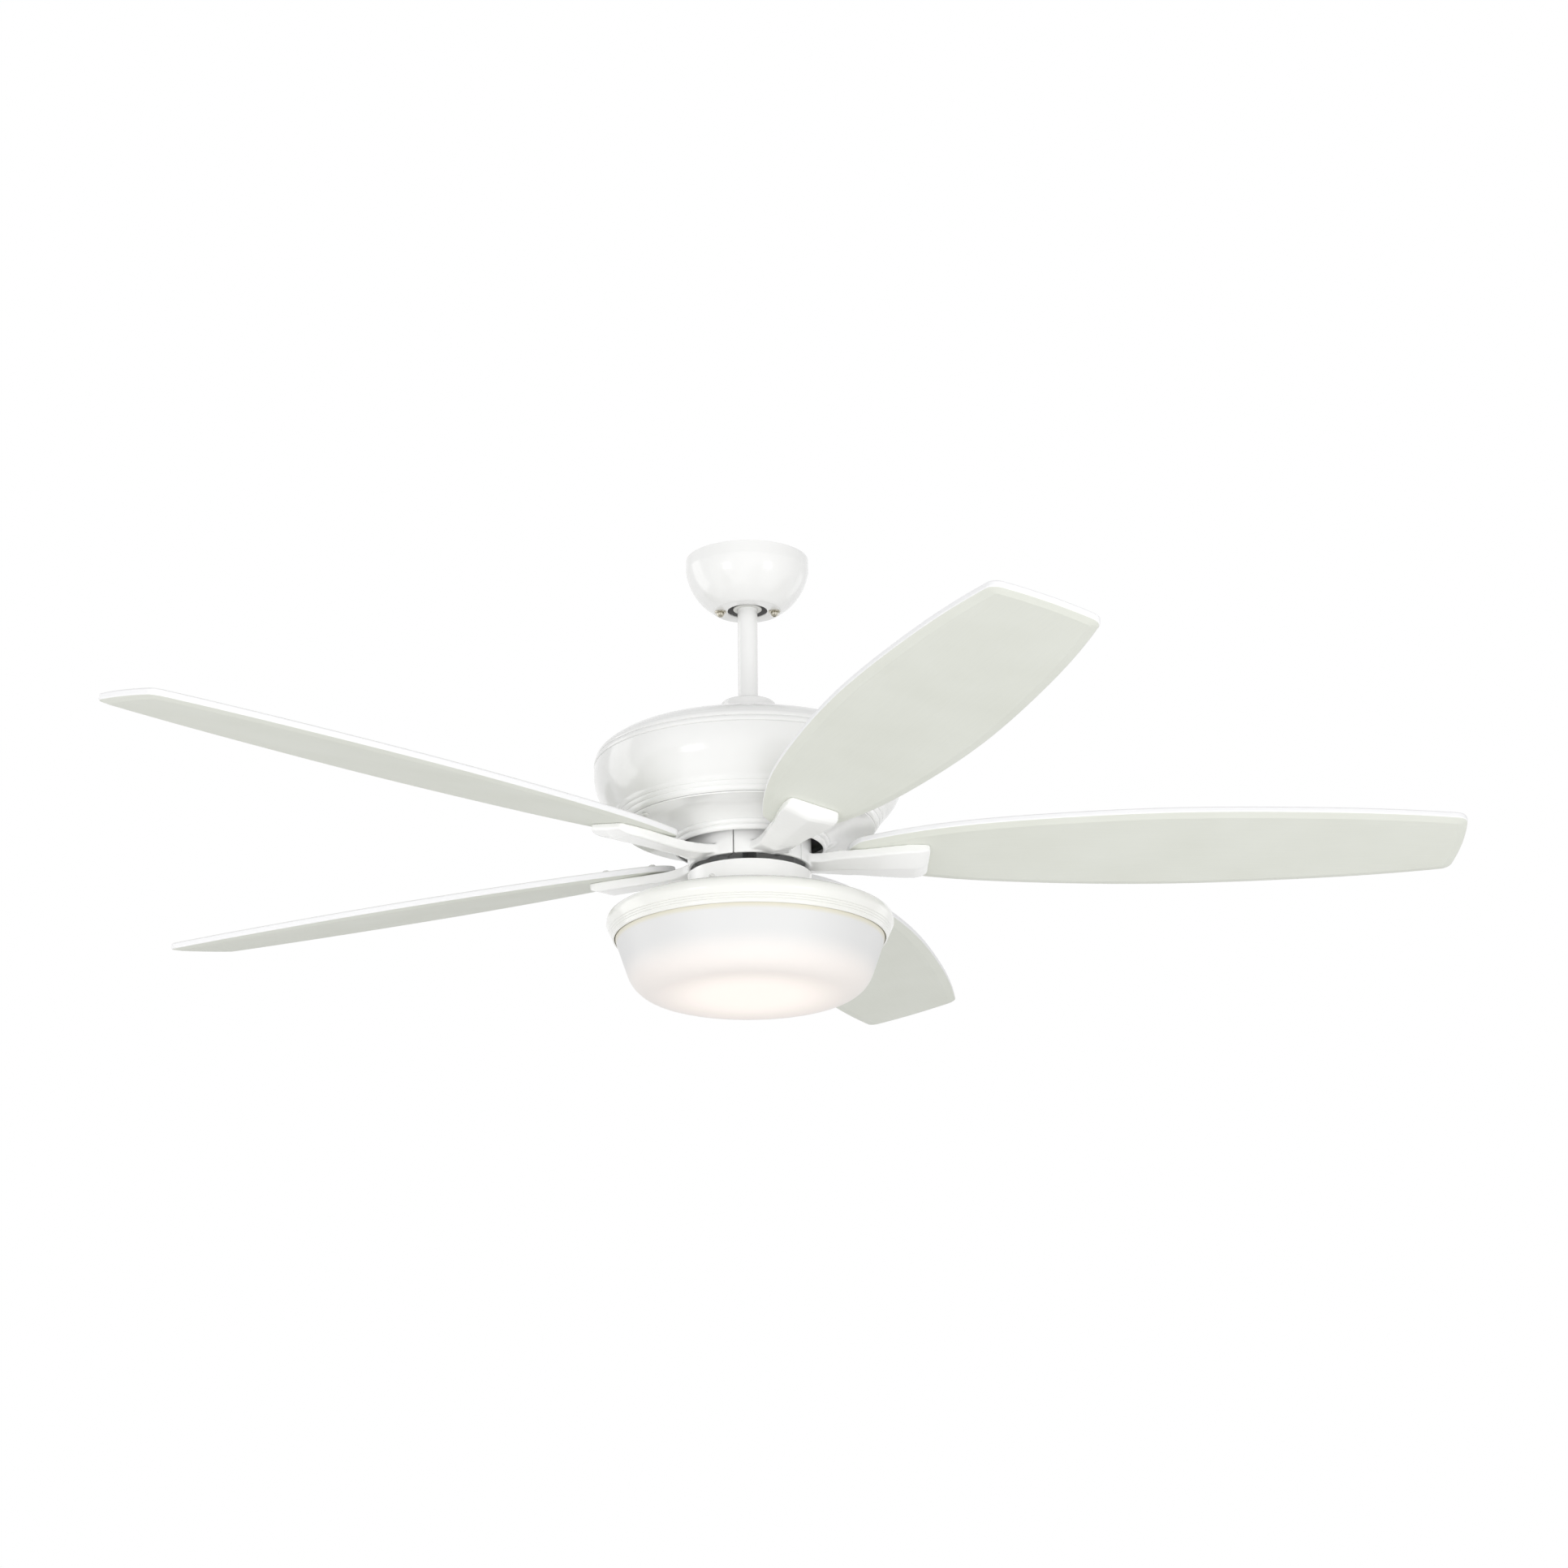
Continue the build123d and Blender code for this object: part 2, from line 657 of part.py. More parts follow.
coil_width = tooth_width + 2 * (slip + coil_thickness)
coil_start = tooth_root + coil_thickness / 2
with BuildPart() as one_coil:
    with BuildSketch(Plane.YZ.offset(coil_start)) as coil_section:
        with Locations((0, motor_z)):
            Rectangle(coil_width, core_height + 2 * coil_overhang)
            fillet(coil_section.vertices(), coil_thickness)
            Rectangle(tooth_width + 2 * slip, core_height + 2 * slip, mode=Mode.SUBTRACT)
    extrude(amount=core_radius - tooth_tip - washer_thickness - coil_start)
with BuildPart() as stator_windings:
    for number in range(stator_teeth):
        add(one_coil.part, rotation=(0, 0, 360 / stator_teeth * number))
stator_windings.part.label = "stator_windings"
export_step(stator_windings.part, "parts/stator_windings.step")

# ---- bearings: grooved races and seven balls each
ball_pitch = (shaft_radius + bearing_outer_radius) / 2
race_places = (("upper", upper_bearing_z), ("lower", lower_bearing_z))
race_radii = (
    ("inner", shaft_radius, shaft_radius + race_wall),
    ("outer", bearing_outer_radius - race_wall, bearing_outer_radius),
)
for place, middle_z in race_places:
    for side_name, inner_radius, outer_radius in race_radii:
        with BuildPart() as race:
            with BuildSketch(Plane.XZ):
                with Locations(((inner_radius + outer_radius) / 2, middle_z)):
                    Rectangle(outer_radius - inner_radius, bearing_width)
                with Locations((ball_pitch, middle_z)):
                    Circle(bearing_ball_radius + ball_run, mode=Mode.SUBTRACT)
            revolve(axis=Axis.Z)
        race.part.label = place + "_" + side_name + "_race"
        export_step(race.part, "parts/" + place + "_" + side_name + "_race.step")

with BuildPart() as bearing_balls:
    for place, middle_z in race_places:
        with Locations(*[(x, y, middle_z) for x, y in round_places(ball_pitch, bearing_ball_count)]):
            Sphere(bearing_ball_radius)
bearing_balls.part.label = "bearing_balls"
export_step(bearing_balls.part, "parts/bearing_balls.step")

# ---- rotor: magnet ring clamped between two cast covers
rotor_ring_inner = core_radius + air_gap
rotor_ring_outer = rotor_ring_inner + rotor_ring_thickness
with BuildPart() as rotor_ring:
    with BuildSketch(Plane.XY.offset(motor_z)):
        Circle(rotor_ring_outer)
        Circle(rotor_ring_inner, mode=Mode.SUBTRACT)
    extrude(amount=rotor_ring_height / 2, both=True)
rotor_ring.part.label = "rotor_ring"
export_step(rotor_ring.part, "parts/rotor_ring.step")

cover_inner = rotor_ring_outer + slip
cover_outer = cover_inner + motor_wall
cover_top = motor_z + motor_cover_depth
hub_inner = bearing_outer_radius + slip
hub_outer = hub_inner + bearing_hub_wall
hub_bottom = upper_bearing_z - bearing_width / 2
hub_top = upper_bearing_z + bearing_width / 2 + slip
rotor_screw_circle = cover_outer + motor_flange / 2
rotor_screw_places = round_places(rotor_screw_circle, rotor_screw_count, rotor_screw_turn)
with BuildPart() as rotor_upper_cover:
    with BuildSketch(Plane.XZ):
        with BuildLine():
            Polyline(
                (hub_inner, hub_bottom),
                (hub_outer, hub_bottom),
                (hub_outer, cover_top - motor_plate),
                (cover_inner, cover_top - motor_plate),
                (cover_inner, motor_z),
                (cover_outer + motor_flange, motor_z),
                (cover_outer + motor_flange, motor_z + motor_flange_thickness),
                (cover_outer, motor_z + motor_flange_thickness),
                (cover_outer, cover_top),
                (hub_outer, cover_top),
                (hub_outer, hub_top + bearing_lip),
                (hub_inner - bearing_lip, hub_top + bearing_lip),
                (hub_inner - bearing_lip, hub_top),
                (hub_inner, hub_top),
                close=True,
            )
        make_face()
    revolve(axis=Axis.Z)
    fillet(rotor_upper_cover.edges().filter_by(GeomType.CIRCLE).filter_by_position(
        Axis.Z, cover_top, cover_top).sort_by(SortBy.RADIUS)[-1], motor_plate)
    with Locations(*[(x, y, motor_z + motor_flange_thickness) for x, y in rotor_screw_places]):
        Hole(thread_radius + slip, depth=motor_flange_thickness)
rotor_upper_cover.part.label = "rotor_upper_cover"
export_step(rotor_upper_cover.part, "parts/rotor_upper_cover.step")

# The lower cover is the same casting upside down, with a boss for the blade arms.
arm_seat_z = housing_z - arm_seat_drop
arm_turns = [rest_turn - 360 / blade_count * number for number in range(blade_count)]
arm_screw_places = []
for turn in arm_turns:
    for side_turn in (-arm_screw_angle, arm_screw_angle):
        arm_screw_places += round_places(arm_screw_circle, 1, turn + side_turn)
cover_bottom = 2 * motor_z - cover_top
with BuildPart() as rotor_lower_cover:
    add(rotor_upper_cover.part)
    mirror(about=Plane.XY.offset(motor_z), mode=Mode.REPLACE)
    with BuildSketch(Plane.XY.offset(arm_seat_z)):
        Circle(arm_boss_radius)
        Circle(arm_foot_radius, mode=Mode.SUBTRACT)
    extrude(amount=cover_bottom + motor_plate - arm_seat_z)
    with BuildSketch(Plane.XY.offset(arm_seat_z)):
        with Locations(*arm_screw_places):
            Circle(thread_radius + slip)
    extrude(amount=arm_screw_depth + slip, mode=Mode.SUBTRACT)
rotor_lower_cover.part.label = "rotor_lower_cover"
export_step(rotor_lower_cover.part, "parts/rotor_lower_cover.step")

rotor_screws = upright_screws(
    rotor_screw_places, motor_z + motor_flange_thickness, -2 * motor_flange_thickness
)
rotor_screws.part.label = "rotor_screws"
export_step(rotor_screws.part, "parts/rotor_screws.step")

# =====================================================================================
# Blade arms: five castings. Each has a fifth of the ring under the motor, a foot that is
# screwed to the motor and a tapering arm with a keel, which twists up to the blade's pitch.
blade_z = housing_z - blade_drop
arm_ring_top = arm_seat_z
arm_ring_bottom = housing_z - arm_ring_bottom_drop
pitch = radians(blade_pitch)
cone = radians(blade_cone)
blade_along = Vector(cos(cone), 0, sin(cone))
blade_across = Vector(0, cos(pitch), -sin(pitch))
blade_plane = Plane(
    origin=(0, 0, blade_z), x_dir=blade_along, z_dir=blade_along.cross(blade_across)
)
blade_under = blade_plane.offset(-blade_thickness / 2)


def arm_sector():
    """Keep one fifth of a sketch about the X axis, less half a split on either side."""
    half_turn = radians(180 / blade_count)
    near = arm_ring_split / 2 / sin(half_turn)
    far = (near + 2 * arm_ring_radius, 2 * arm_ring_radius * tan(half_turn))
    Polygon((near, 0), far, (far[0], -far[1]), align=None, mode=Mode.INTERSECT)


def arm_section(reach, width, turned, wall, ridge):
    """Section across an arm: flat top, upright walls and a keel, turned part of the pitch."""
    angle = pitch * turned
    across = Vector(0, cos(angle), -sin(angle))
    under_blade = blade_z + reach * tan(cone) - blade_thickness / 2 / blade_plane.z_dir.Z
    section_plane = Plane(origin=(reach, 0, under_blade), x_dir=across, z_dir=(1, 0, 0))
    with BuildSketch(section_plane) as section:
        with BuildLine():
            Polyline(
                (-width / 2, 0),
                (width / 2, 0),
                (width / 2, -wall),
                (0, -wall - ridge),
                (-width / 2, -wall),
                close=True,
            )
        make_face()
        fillet(section.vertices().group_by(Axis.Y)[1], arm_edge_round)
    return section.sketch


blade_screw_places = [
    (blade_screw_outer, -blade_screw_spread / 2),
    (blade_screw_outer, blade_screw_spread / 2),
    (blade_screw_inner, 0),
]
arm_start = arm_ring_radius - arm_ring_wall
twist_sections = [
    arm_section(arm_start + (arm_twist_end - arm_start) * turned, width, turned, arm_wall, arm_ridge)
    for turned, width in arm_twist_widths
]
flare_sections = [
    arm_section(reach, width, 1.0, arm_wall, arm_ridge) for reach, width in arm_flare_widths
]
pad_section = arm_section(arm_pad_start, arm_pad_width, 1.0, arm_wall, arm_ridge)
end_section = arm_section(arm_pad_end, arm_pad_width, 1.0, arm_end_wall, slip)
with BuildPart() as first_arm:
    loft(twist_sections)
    loft(flare_sections + [pad_section])
    loft([pad_section, end_section], ruled=True)
    with BuildSketch(blade_under):
        with Locations((arm_pad_end, 0)):
            Rectangle(2 * arm_pad_corner, arm_pad_width + arm_wall)
        with Locations((arm_pad_end - arm_pad_width / 2, 0)):
            RectangleRounded(arm_pad_width, arm_pad_width, arm_pad_corner, mode=Mode.SUBTRACT)
    extrude(amount=arm_wall, both=True, mode=Mode.SUBTRACT)
    with BuildSketch(Plane.XY.offset(arm_ring_top)):
        Circle(arm_ring_radius)
        Circle(arm_start, mode=Mode.SUBTRACT)
        arm_sector()
    extrude(amount=arm_ring_bottom - arm_ring_top)
    with BuildSketch(Plane.XY.offset(arm_ring_top)) as foot:
        Circle(arm_ring_radius - slip)
        Circle(arm_foot_radius, mode=Mode.SUBTRACT)
        arm_sector()
        for side_turn in (-arm_screw_angle, arm_screw_angle):
            with Locations(*round_places(arm_screw_circle, 1, side_turn)):
                Circle(thread_radius + slip, mode=Mode.SUBTRACT)
    extrude(amount=-arm_foot_thickness)
    with BuildSketch(blade_under):
        with Locations(*blade_screw_places):
            Circle(thread_radius + slip)
    extrude(amount=slip - arm_wall, mode=Mode.SUBTRACT)
for number, turn in enumerate(arm_turns, 1):
    with BuildPart() as blade_arm:
        add(first_arm.part, rotation=(0, 0, turn))
    blade_arm.part.label = "blade_arm_" + str(number)
    export_step(blade_arm.part, "parts/blade_arm_" + str(number) + ".step")

arm_screws = upright_screws(
    arm_screw_places, arm_seat_z - arm_foot_thickness, arm_foot_thickness + arm_screw_depth
)
arm_screws.part.label = "arm_screws"
export_step(arm_screws.part, "parts/arm_screws.step")

# =====================================================================================
# Blades: flat boards with a curved outline, pitched and set rising slightly outwards. Each is
# screwed down to its arm through three washers.
blade_length = sweep_radius / cos(cone) - blade_tip_bow - blade_root
leading_points = [
    (blade_root + blade_length * part, -blade_lead - half) for part, half in blade_widths
]
trailing_points = [
    (blade_root + blade_length * part, half - blade_lead) for part, half in blade_widths
]


def board_height(edge):
    """Height of an edge's middle above the blade's middle plane."""
    return (edge.center() - blade_plane.origin).dot(blade_plane.z_dir)


with BuildPart() as first_blade:
    with BuildSketch(blade_plane) as blade_outline:
        with BuildLine():
            leading = Spline(*leading_points)
            trailing = Spline(*trailing_points)
            SagittaArc(leading @ 0, trailing @ 0, blade_root_bow)
            SagittaArc(leading @ 1, trailing @ 1, -blade_tip_bow)
        make_face()
        fillet(blade_outline.vertices().group_by(Axis.X)[-1], blade_tip_corner)
        fillet(blade_outline.vertices().filter_by_position(
            Axis.X, blade_root - slip, blade_root + slip), blade_root_corner)
    extrude(amount=blade_thickness / 2, both=True)
    under_face = first_blade.faces().sort_by(SortBy.AREA)[-2:].sort_by(Axis.Z)[0]
    long_under_edges = under_face.edges().sort_by(SortBy.LENGTH)[-2:]
    chamfer(long_under_edges, blade_bevel_width, blade_bevel_height, reference=under_face)
    top_rim = first_blade.edges().filter_by(
        lambda edge: board_height(edge) > blade_thickness / 2 - slip
    )
    fillet(top_rim, blade_edge_round)
    bevel_rims = first_blade.edges().filter_by(
        lambda edge: edge.length > blade_length / 2
        and -blade_thickness / 2 + blade_bevel_round < board_height(edge) < 0
    )
    fillet(bevel_rims, blade_bevel_round)
    with BuildSketch(blade_under):
        with Locations(*blade_screw_places):
            Circle(thread_radius + slip)
    extrude(amount=blade_thickness, mode=Mode.SUBTRACT)
for number, turn in enumerate(arm_turns, 1):
    with BuildPart() as blade:
        add(first_blade.part, rotation=(0, 0, turn))
    blade.part.label = "blade_" + str(number)
    export_step(blade.part, "parts/blade_" + str(number) + ".step")

with BuildPart() as washer_set:
    with BuildSketch(blade_plane.offset(blade_thickness / 2)):
        with Locations(*blade_screw_places):
            Circle(blade_washer_radius)
            Circle(thread_radius + slip, mode=Mode.SUBTRACT)
    extrude(amount=washer_thickness)
with BuildPart() as blade_washers:
    for turn in arm_turns:
        add(washer_set.part, rotation=(0, 0, turn))
blade_washers.part.label = "blade_washers"
export_step(blade_washers.part, "parts/blade_washers.step")

with BuildPart() as screw_set:
    with BuildSketch(blade_plane.offset(blade_thickness / 2 + washer_thickness)):
        with Locations(*blade_screw_places):
            Circle(screw_head_radius)
    extrude(amount=screw_head_height)
    with BuildSketch(blade_plane.offset(blade_thickness / 2 + washer_thickness)):
        with Locations(*blade_screw_places):
            Circle(thread_radius)
    extrude(amount=-blade_thickness - arm_wall)
with BuildPart() as blade_screws:
    for turn in arm_turns:
        add(screw_set.part, rotation=(0, 0, turn))
blade_screws.part.label = "blade_screws"
export_step(blade_screws.part, "parts/blade_screws.step")

# =====================================================================================
# Light kit: an adapter plate clamped on the end of the shaft between two nuts, a cup that is
# screwed to the plate's rim, and the pan that carries the lamp board and the glass.
neck_inner = neck_radius - neck_wall
adapter_rim_outer = neck_inner - slip
neck_screw_z = housing_z - neck_screw_drop
neck_screw_turns = [
    neck_screw_turn + 360 / neck_screw_count * number for number in range(neck_screw_count)
]
neck_screw_planes = [
    Plane(origin=(0, 0, neck_screw_z), z_dir=(cos(radians(turn)), sin(radians(turn)), 0))
    for turn in neck_screw_turns
]
with BuildPart() as light_adapter_plate:
    with BuildSketch(Plane.XY.offset(adapter_z)):
        Circle(adapter_rim_outer)
        Circle(shaft_radius + slip, mode=Mode.SUBTRACT)
    extrude(amount=-adapter_thickness)
    with BuildSketch(Plane.XY.offset(adapter_z)):
        Circle(adapter_rim_outer)
        Circle(adapter_rim_outer - spun_wall, mode=Mode.SUBTRACT)
    extrude(amount=-adapter_rim)
    for screw_plane in neck_screw_planes:
        with BuildSketch(screw_plane):
            Circle(thread_radius + slip)
        extrude(amount=adapter_rim_outer, mode=Mode.SUBTRACT)
light_adapter_plate.part.label = "light_adapter_plate"
export_step(light_adapter_plate.part, "parts/light_adapter_plate.step")

with BuildPart() as shaft_nuts:
    for seat_z in (adapter_z, adapter_bottom - lock_washer_thickness - nut_height):
        with BuildSketch(Plane.XY.offset(seat_z)):
            RegularPolygon(nut_flats / 2, 6, major_radius=False)
            Circle(shaft_radius + slip, mode=Mode.SUBTRACT)
        extrude(amount=nut_height)
shaft_nuts.part.label = "shaft_nuts"
export_step(shaft_nuts.part, "parts/shaft_nuts.step")

with BuildPart() as lock_washer:
    with BuildSketch(Plane.XY.offset(adapter_bottom)):
        Circle(lock_washer_radius)
        Circle(shaft_radius + slip, mode=Mode.SUBTRACT)
    extrude(amount=-lock_washer_thickness)
lock_washer.part.label = "lock_washer"
export_step(lock_washer.part, "parts/lock_washer.step")

neck_top = housing_z - neck_top_drop
pan_z = housing_z - pan_drop
pan_screw_places = round_places(pan_screw_circle, pan_screw_count)
with BuildPart() as switch_cup:
    with BuildSketch(Plane.XY.offset(neck_top)):
        Circle(neck_radius)
        Circle(neck_inner, mode=Mode.SUBTRACT)
    extrude(amount=pan_z - neck_top)
    with BuildSketch(Plane.XY.offset(pan_z)):
        Circle(neck_radius)
        Circle(neck_hole_radius, mode=Mode.SUBTRACT)
    extrude(amount=neck_wall)
    for screw_plane in neck_screw_planes:
        with BuildSketch(screw_plane):
            Circle(thread_radius + slip)
        extrude(amount=neck_radius, mode=Mode.SUBTRACT)
    with BuildSketch(Plane.XY.offset(pan_z)):
        with Locations(*pan_screw_places):
            Circle(thread_radius + slip)
    extrude(amount=neck_wall, mode=Mode.SUBTRACT)
switch_cup.part.label = "switch_cup"
export_step(switch_cup.part, "parts/switch_cup.step")

cup_screw_tip = adapter_rim_outer - spun_wall - thread_radius
with BuildPart() as cup_screws:
    for screw_plane in neck_screw_planes:
        with BuildSketch(screw_plane.offset(neck_radius)):
            Circle(screw_head_radius)
        extrude(amount=screw_head_height)
        with BuildSketch(screw_plane.offset(cup_screw_tip)):
            Circle(thread_radius)
        extrude(amount=neck_radius - cup_screw_tip)
cup_screws.part.label = "cup_screws"
export_step(cup_screws.part, "parts/cup_screws.step")

def lug_wedge(reach):
    """A pie slice of one lug's width about the X axis."""
    half_turn = radians(lug_angle / 2)
    Polygon((0, 0), (reach, -reach * tan(half_turn)), (reach, reach * tan(half_turn)), align=None)


# Pan: spun, with a rounded shoulder, three beads round its lower edge and three tabs inside
# that the glass hangs on.
pan_beads = bead_row(
    (pan_radius, housing_z - pan_rim_drop),
    (pan_bottom_radius, housing_z - pan_bottom_drop),
    bead_count,
)
pan_bottom_z = pan_beads[-1][1]
shoulder_reach = pan_radius - pan_corner_radius - pan_flat_radius
shoulder_rest = pan_shoulder_drop - pan_corner_radius
shoulder_square = shoulder_reach ** 2 + pan_shoulder_drop ** 2 - pan_corner_radius ** 2
pan_sweep_radius = shoulder_square / (2 * shoulder_rest)
pan_sweep_turn = degrees(asin(shoulder_reach / (pan_sweep_radius - pan_corner_radius)))
tab_top_z = pan_bottom_z + tab_rise
tab_outer = (pan_radius + pan_bottom_radius) / 2 - bead_groove / 2
tab_inner = glass_rim_radius + 2 * run_gap
post_places = round_places(post_circle, post_count, post_turn)
with BuildPart() as light_pan:
    with BuildSketch(Plane.XZ):
        with BuildLine():
            pan_top = Line((pan_hole_radius, pan_z), (pan_flat_radius, pan_z))
            sweep_arc = JernArc(pan_top @ 1, (1, 0), pan_sweep_radius, -pan_sweep_turn)
            corner = JernArc(sweep_arc @ 1, sweep_arc % 1, pan_corner_radius, pan_sweep_turn - 90)
            Line(corner @ 1, pan_beads[0])
            for start, end in zip(pan_beads, pan_beads[1:]):
                SagittaArc(start, end, bead_groove)
            offset(amount=spun_wall, side=Side.RIGHT)
        make_face()
    revolve(axis=Axis.Z)
    with BuildSketch(Plane.XY.offset(tab_top_z)):
        with PolarLocations(0, lug_count, start_angle=lug_turn):
            lug_wedge(pan_radius)
        Circle(tab_outer, mode=Mode.INTERSECT)
        Circle(tab_inner, mode=Mode.SUBTRACT)
    extrude(amount=-spun_wall)
    with Locations(*[(x, y, pan_z) for x, y in pan_screw_places]):
        Hole(thread_radius + slip, depth=2 * spun_wall)
    with Locations(*[(x, y, pan_z) for x, y in post_places]):
        Hole(thread_radius + slip, depth=2 * spun_wall)
light_pan.part.label = "light_pan"
export_step(light_pan.part, "parts/light_pan.step")

pan_screws = upright_screws(pan_screw_places, pan_z - spun_wall, spun_wall + 2 * neck_wall)
pan_screws.part.label = "pan_screws"
export_step(pan_screws.part, "parts/pan_screws.step")

# Posts between the pan and the heat sink, with a screw end through each.
sink_z = housing_z - heat_sink_drop
board_z = sink_z - heat_sink_thickness
with BuildPart() as pan_posts:
    with BuildSketch(Plane.XY.offset(sink_z)):
        with Locations(*post_places):
            Circle(post_radius)
    extrude(amount=pan_z - spun_wall - sink_z)
    with BuildSketch(Plane.XY.offset(board_z - washer_thickness)):
        with Locations(*post_places):
            Circle(thread_radius)
    extrude(amount=pan_z - board_z + washer_thickness)
pan_posts.part.label = "pan_posts"
export_step(pan_posts.part, "parts/pan_posts.step")

# ---- lamp: a round heat sink with the board under it, the chips in rings on the board
with BuildPart() as led_heat_sink:
    with BuildSketch(Plane.XY.offset(sink_z)):
        Circle(heat_sink_radius)
        with Locations(*post_places):
            Circle(thread_radius + slip, mode=Mode.SUBTRACT)
    extrude(amount=-heat_sink_thickness)
led_heat_sink.part.label = "led_heat_sink"
export_step(led_heat_sink.part, "parts/led_heat_sink.step")

with BuildPart() as led_board:
    with BuildSketch(Plane.XY.offset(board_z)):
        Circle(led_board_radius)
    extrude(amount=-led_board_thickness)
    with BuildSketch(Plane.XY.offset(board_z - led_board_thickness)):
        ring_radius = led_board_radius - led_edge_gap
        for ring_step, ring_count in zip(led_ring_steps, led_ring_counts):
            ring_radius -= ring_step
            with PolarLocations(ring_radius, ring_count):
                Rectangle(led_size, led_size)
    extrude(amount=-led_height)
led_board.part.label = "led_board"
export_step(led_board.part, "parts/led_board.step")

with BuildPart() as led_driver:
    with BuildSketch(Plane.XY.offset(sink_z)) as driver_outline:
        with Locations((-driver_circle, 0)):
            Rectangle(driver_width, driver_length)
        fillet(driver_outline.vertices(), module_corner)
    extrude(amount=driver_height)
led_driver.part.label = "led_driver"
export_step(led_driver.part, "parts/led_driver.step")

# ---- control parts under the adapter plate
with BuildPart() as run_capacitor:
    with BuildSketch(Plane.XY.offset(adapter_bottom)) as capacitor_outline:
        with Locations((module_circle, 0)):
            Rectangle(capacitor_width, capacitor_length)
        fillet(capacitor_outline.vertices(), module_corner)
    extrude(amount=-capacitor_height)
run_capacitor.part.label = "run_capacitor"
export_step(run_capacitor.part, "parts/run_capacitor.step")

with BuildPart() as control_receiver:
    with BuildSketch(Plane.XY.offset(adapter_bottom)) as receiver_outline:
        with Locations((-module_circle, 0)):
            Rectangle(receiver_width, receiver_length)
        fillet(receiver_outline.vertices(), module_corner)
    extrude(amount=-receiver_height)
control_receiver.part.label = "control_receiver"
export_step(control_receiver.part, "parts/control_receiver.step")

# =====================================================================================
# Glass bowl: opal glass with three lugs under its rim, turned on to the pan's tabs.
glass_top_z = pan_bottom_z + glass_rim_rise
glass_bottom_z = pan_bottom_z - glass_height
glass_foot_rise = glass_corner_radius * (1 - sin(radians(glass_lean)))
glass_foot_radius = glass_rim_radius - (glass_height - glass_foot_rise) * tan(radians(glass_lean))
with BuildPart() as glass_bowl:
    with BuildSketch(Plane.XZ):
        with BuildLine():
            rim = Line((glass_rim_radius, glass_top_z), (glass_rim_radius, pan_bottom_z))
            wall = Line(rim @ 1, (glass_foot_radius, glass_bottom_z + glass_foot_rise))
            foot = JernArc(wall @ 1, wall % 1, glass_corner_radius, glass_lean - 90)
            Line(foot @ 1, (0, glass_bottom_z))
            offset(amount=glass_wall, side=Side.RIGHT)
        make_face()
    revolve(axis=Axis.Z)
    with BuildSketch(Plane.XY.offset(tab_top_z + run_gap)):
        with PolarLocations(0, lug_count, start_angle=lug_turn):
            lug_wedge(glass_rim_radius + 2 * lug_reach)
        Circle(glass_rim_radius + lug_reach, mode=Mode.INTERSECT)
        Circle(glass_rim_radius - glass_wall / 2, mode=Mode.SUBTRACT)
    extrude(amount=lug_height)
glass_bowl.part.label = "glass_bowl"
export_step(glass_bowl.part, "parts/glass_bowl.step")
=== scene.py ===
"""A white five-blade ceiling fan with an opal bowl light, dressed over its CAD frame."""
import math

import bmesh
import bpy
from mathutils import Matrix, Vector


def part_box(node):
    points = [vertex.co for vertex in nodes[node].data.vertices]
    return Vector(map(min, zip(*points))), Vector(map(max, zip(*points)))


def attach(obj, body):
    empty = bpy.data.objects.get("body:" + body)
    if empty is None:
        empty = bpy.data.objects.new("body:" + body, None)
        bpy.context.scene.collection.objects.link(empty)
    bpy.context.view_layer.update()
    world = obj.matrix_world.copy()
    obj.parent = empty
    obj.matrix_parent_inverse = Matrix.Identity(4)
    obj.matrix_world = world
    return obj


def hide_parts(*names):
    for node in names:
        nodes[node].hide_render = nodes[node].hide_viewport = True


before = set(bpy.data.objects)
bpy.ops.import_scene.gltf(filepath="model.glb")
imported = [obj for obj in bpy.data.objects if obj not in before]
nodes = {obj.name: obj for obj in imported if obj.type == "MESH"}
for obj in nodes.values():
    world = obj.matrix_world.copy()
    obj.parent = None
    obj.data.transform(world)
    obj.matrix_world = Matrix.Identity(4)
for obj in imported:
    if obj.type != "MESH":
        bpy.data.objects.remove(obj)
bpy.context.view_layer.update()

# ---------------------------------------------------------------------------------------
# Downrod, coupling cover and switch cup: a steel pipe and two drawn steel cups, sprayed
# with a thick white gloss enamel and stoved, as the canopy and the housings are. The paint
# flows out almost level, so only a faint orange peel is left in it.


def linear(code):
    """An sRGB hex colour as linear values, with full alpha."""
    parts = [int(code[i:i + 2], 16) / 255 for i in (1, 3, 5)]
    return [c / 12.92 if c <= 0.04045 else ((c + 0.055) / 1.055) ** 2.4 for c in parts] + [1.0]


def new_material(name):
    """An empty node material with its tree and shader."""
    material = bpy.data.materials.new(name)
    material.use_nodes = True
    return material, material.node_tree, material.node_tree.nodes["Principled BSDF"]


def add_node(tree, kind, settings=None, values=None, links=None):
    """Adds a node, sets its properties and socket values, and links sockets into it."""
    node = tree.nodes.new(kind)
    for key, value in (settings or {}).items():
        setattr(node, key, value)
    for key, value in (values or {}).items():
        node.inputs[key].default_value = value
    for key, source in (links or {}).items():
        tree.links.new(source, node.inputs[key])
    return node


def dress(material, *names):
    """Gives CAD nodes one material."""
    for name in names:
        data = nodes[name].data
        data.materials.clear()
        data.materials.append(material)


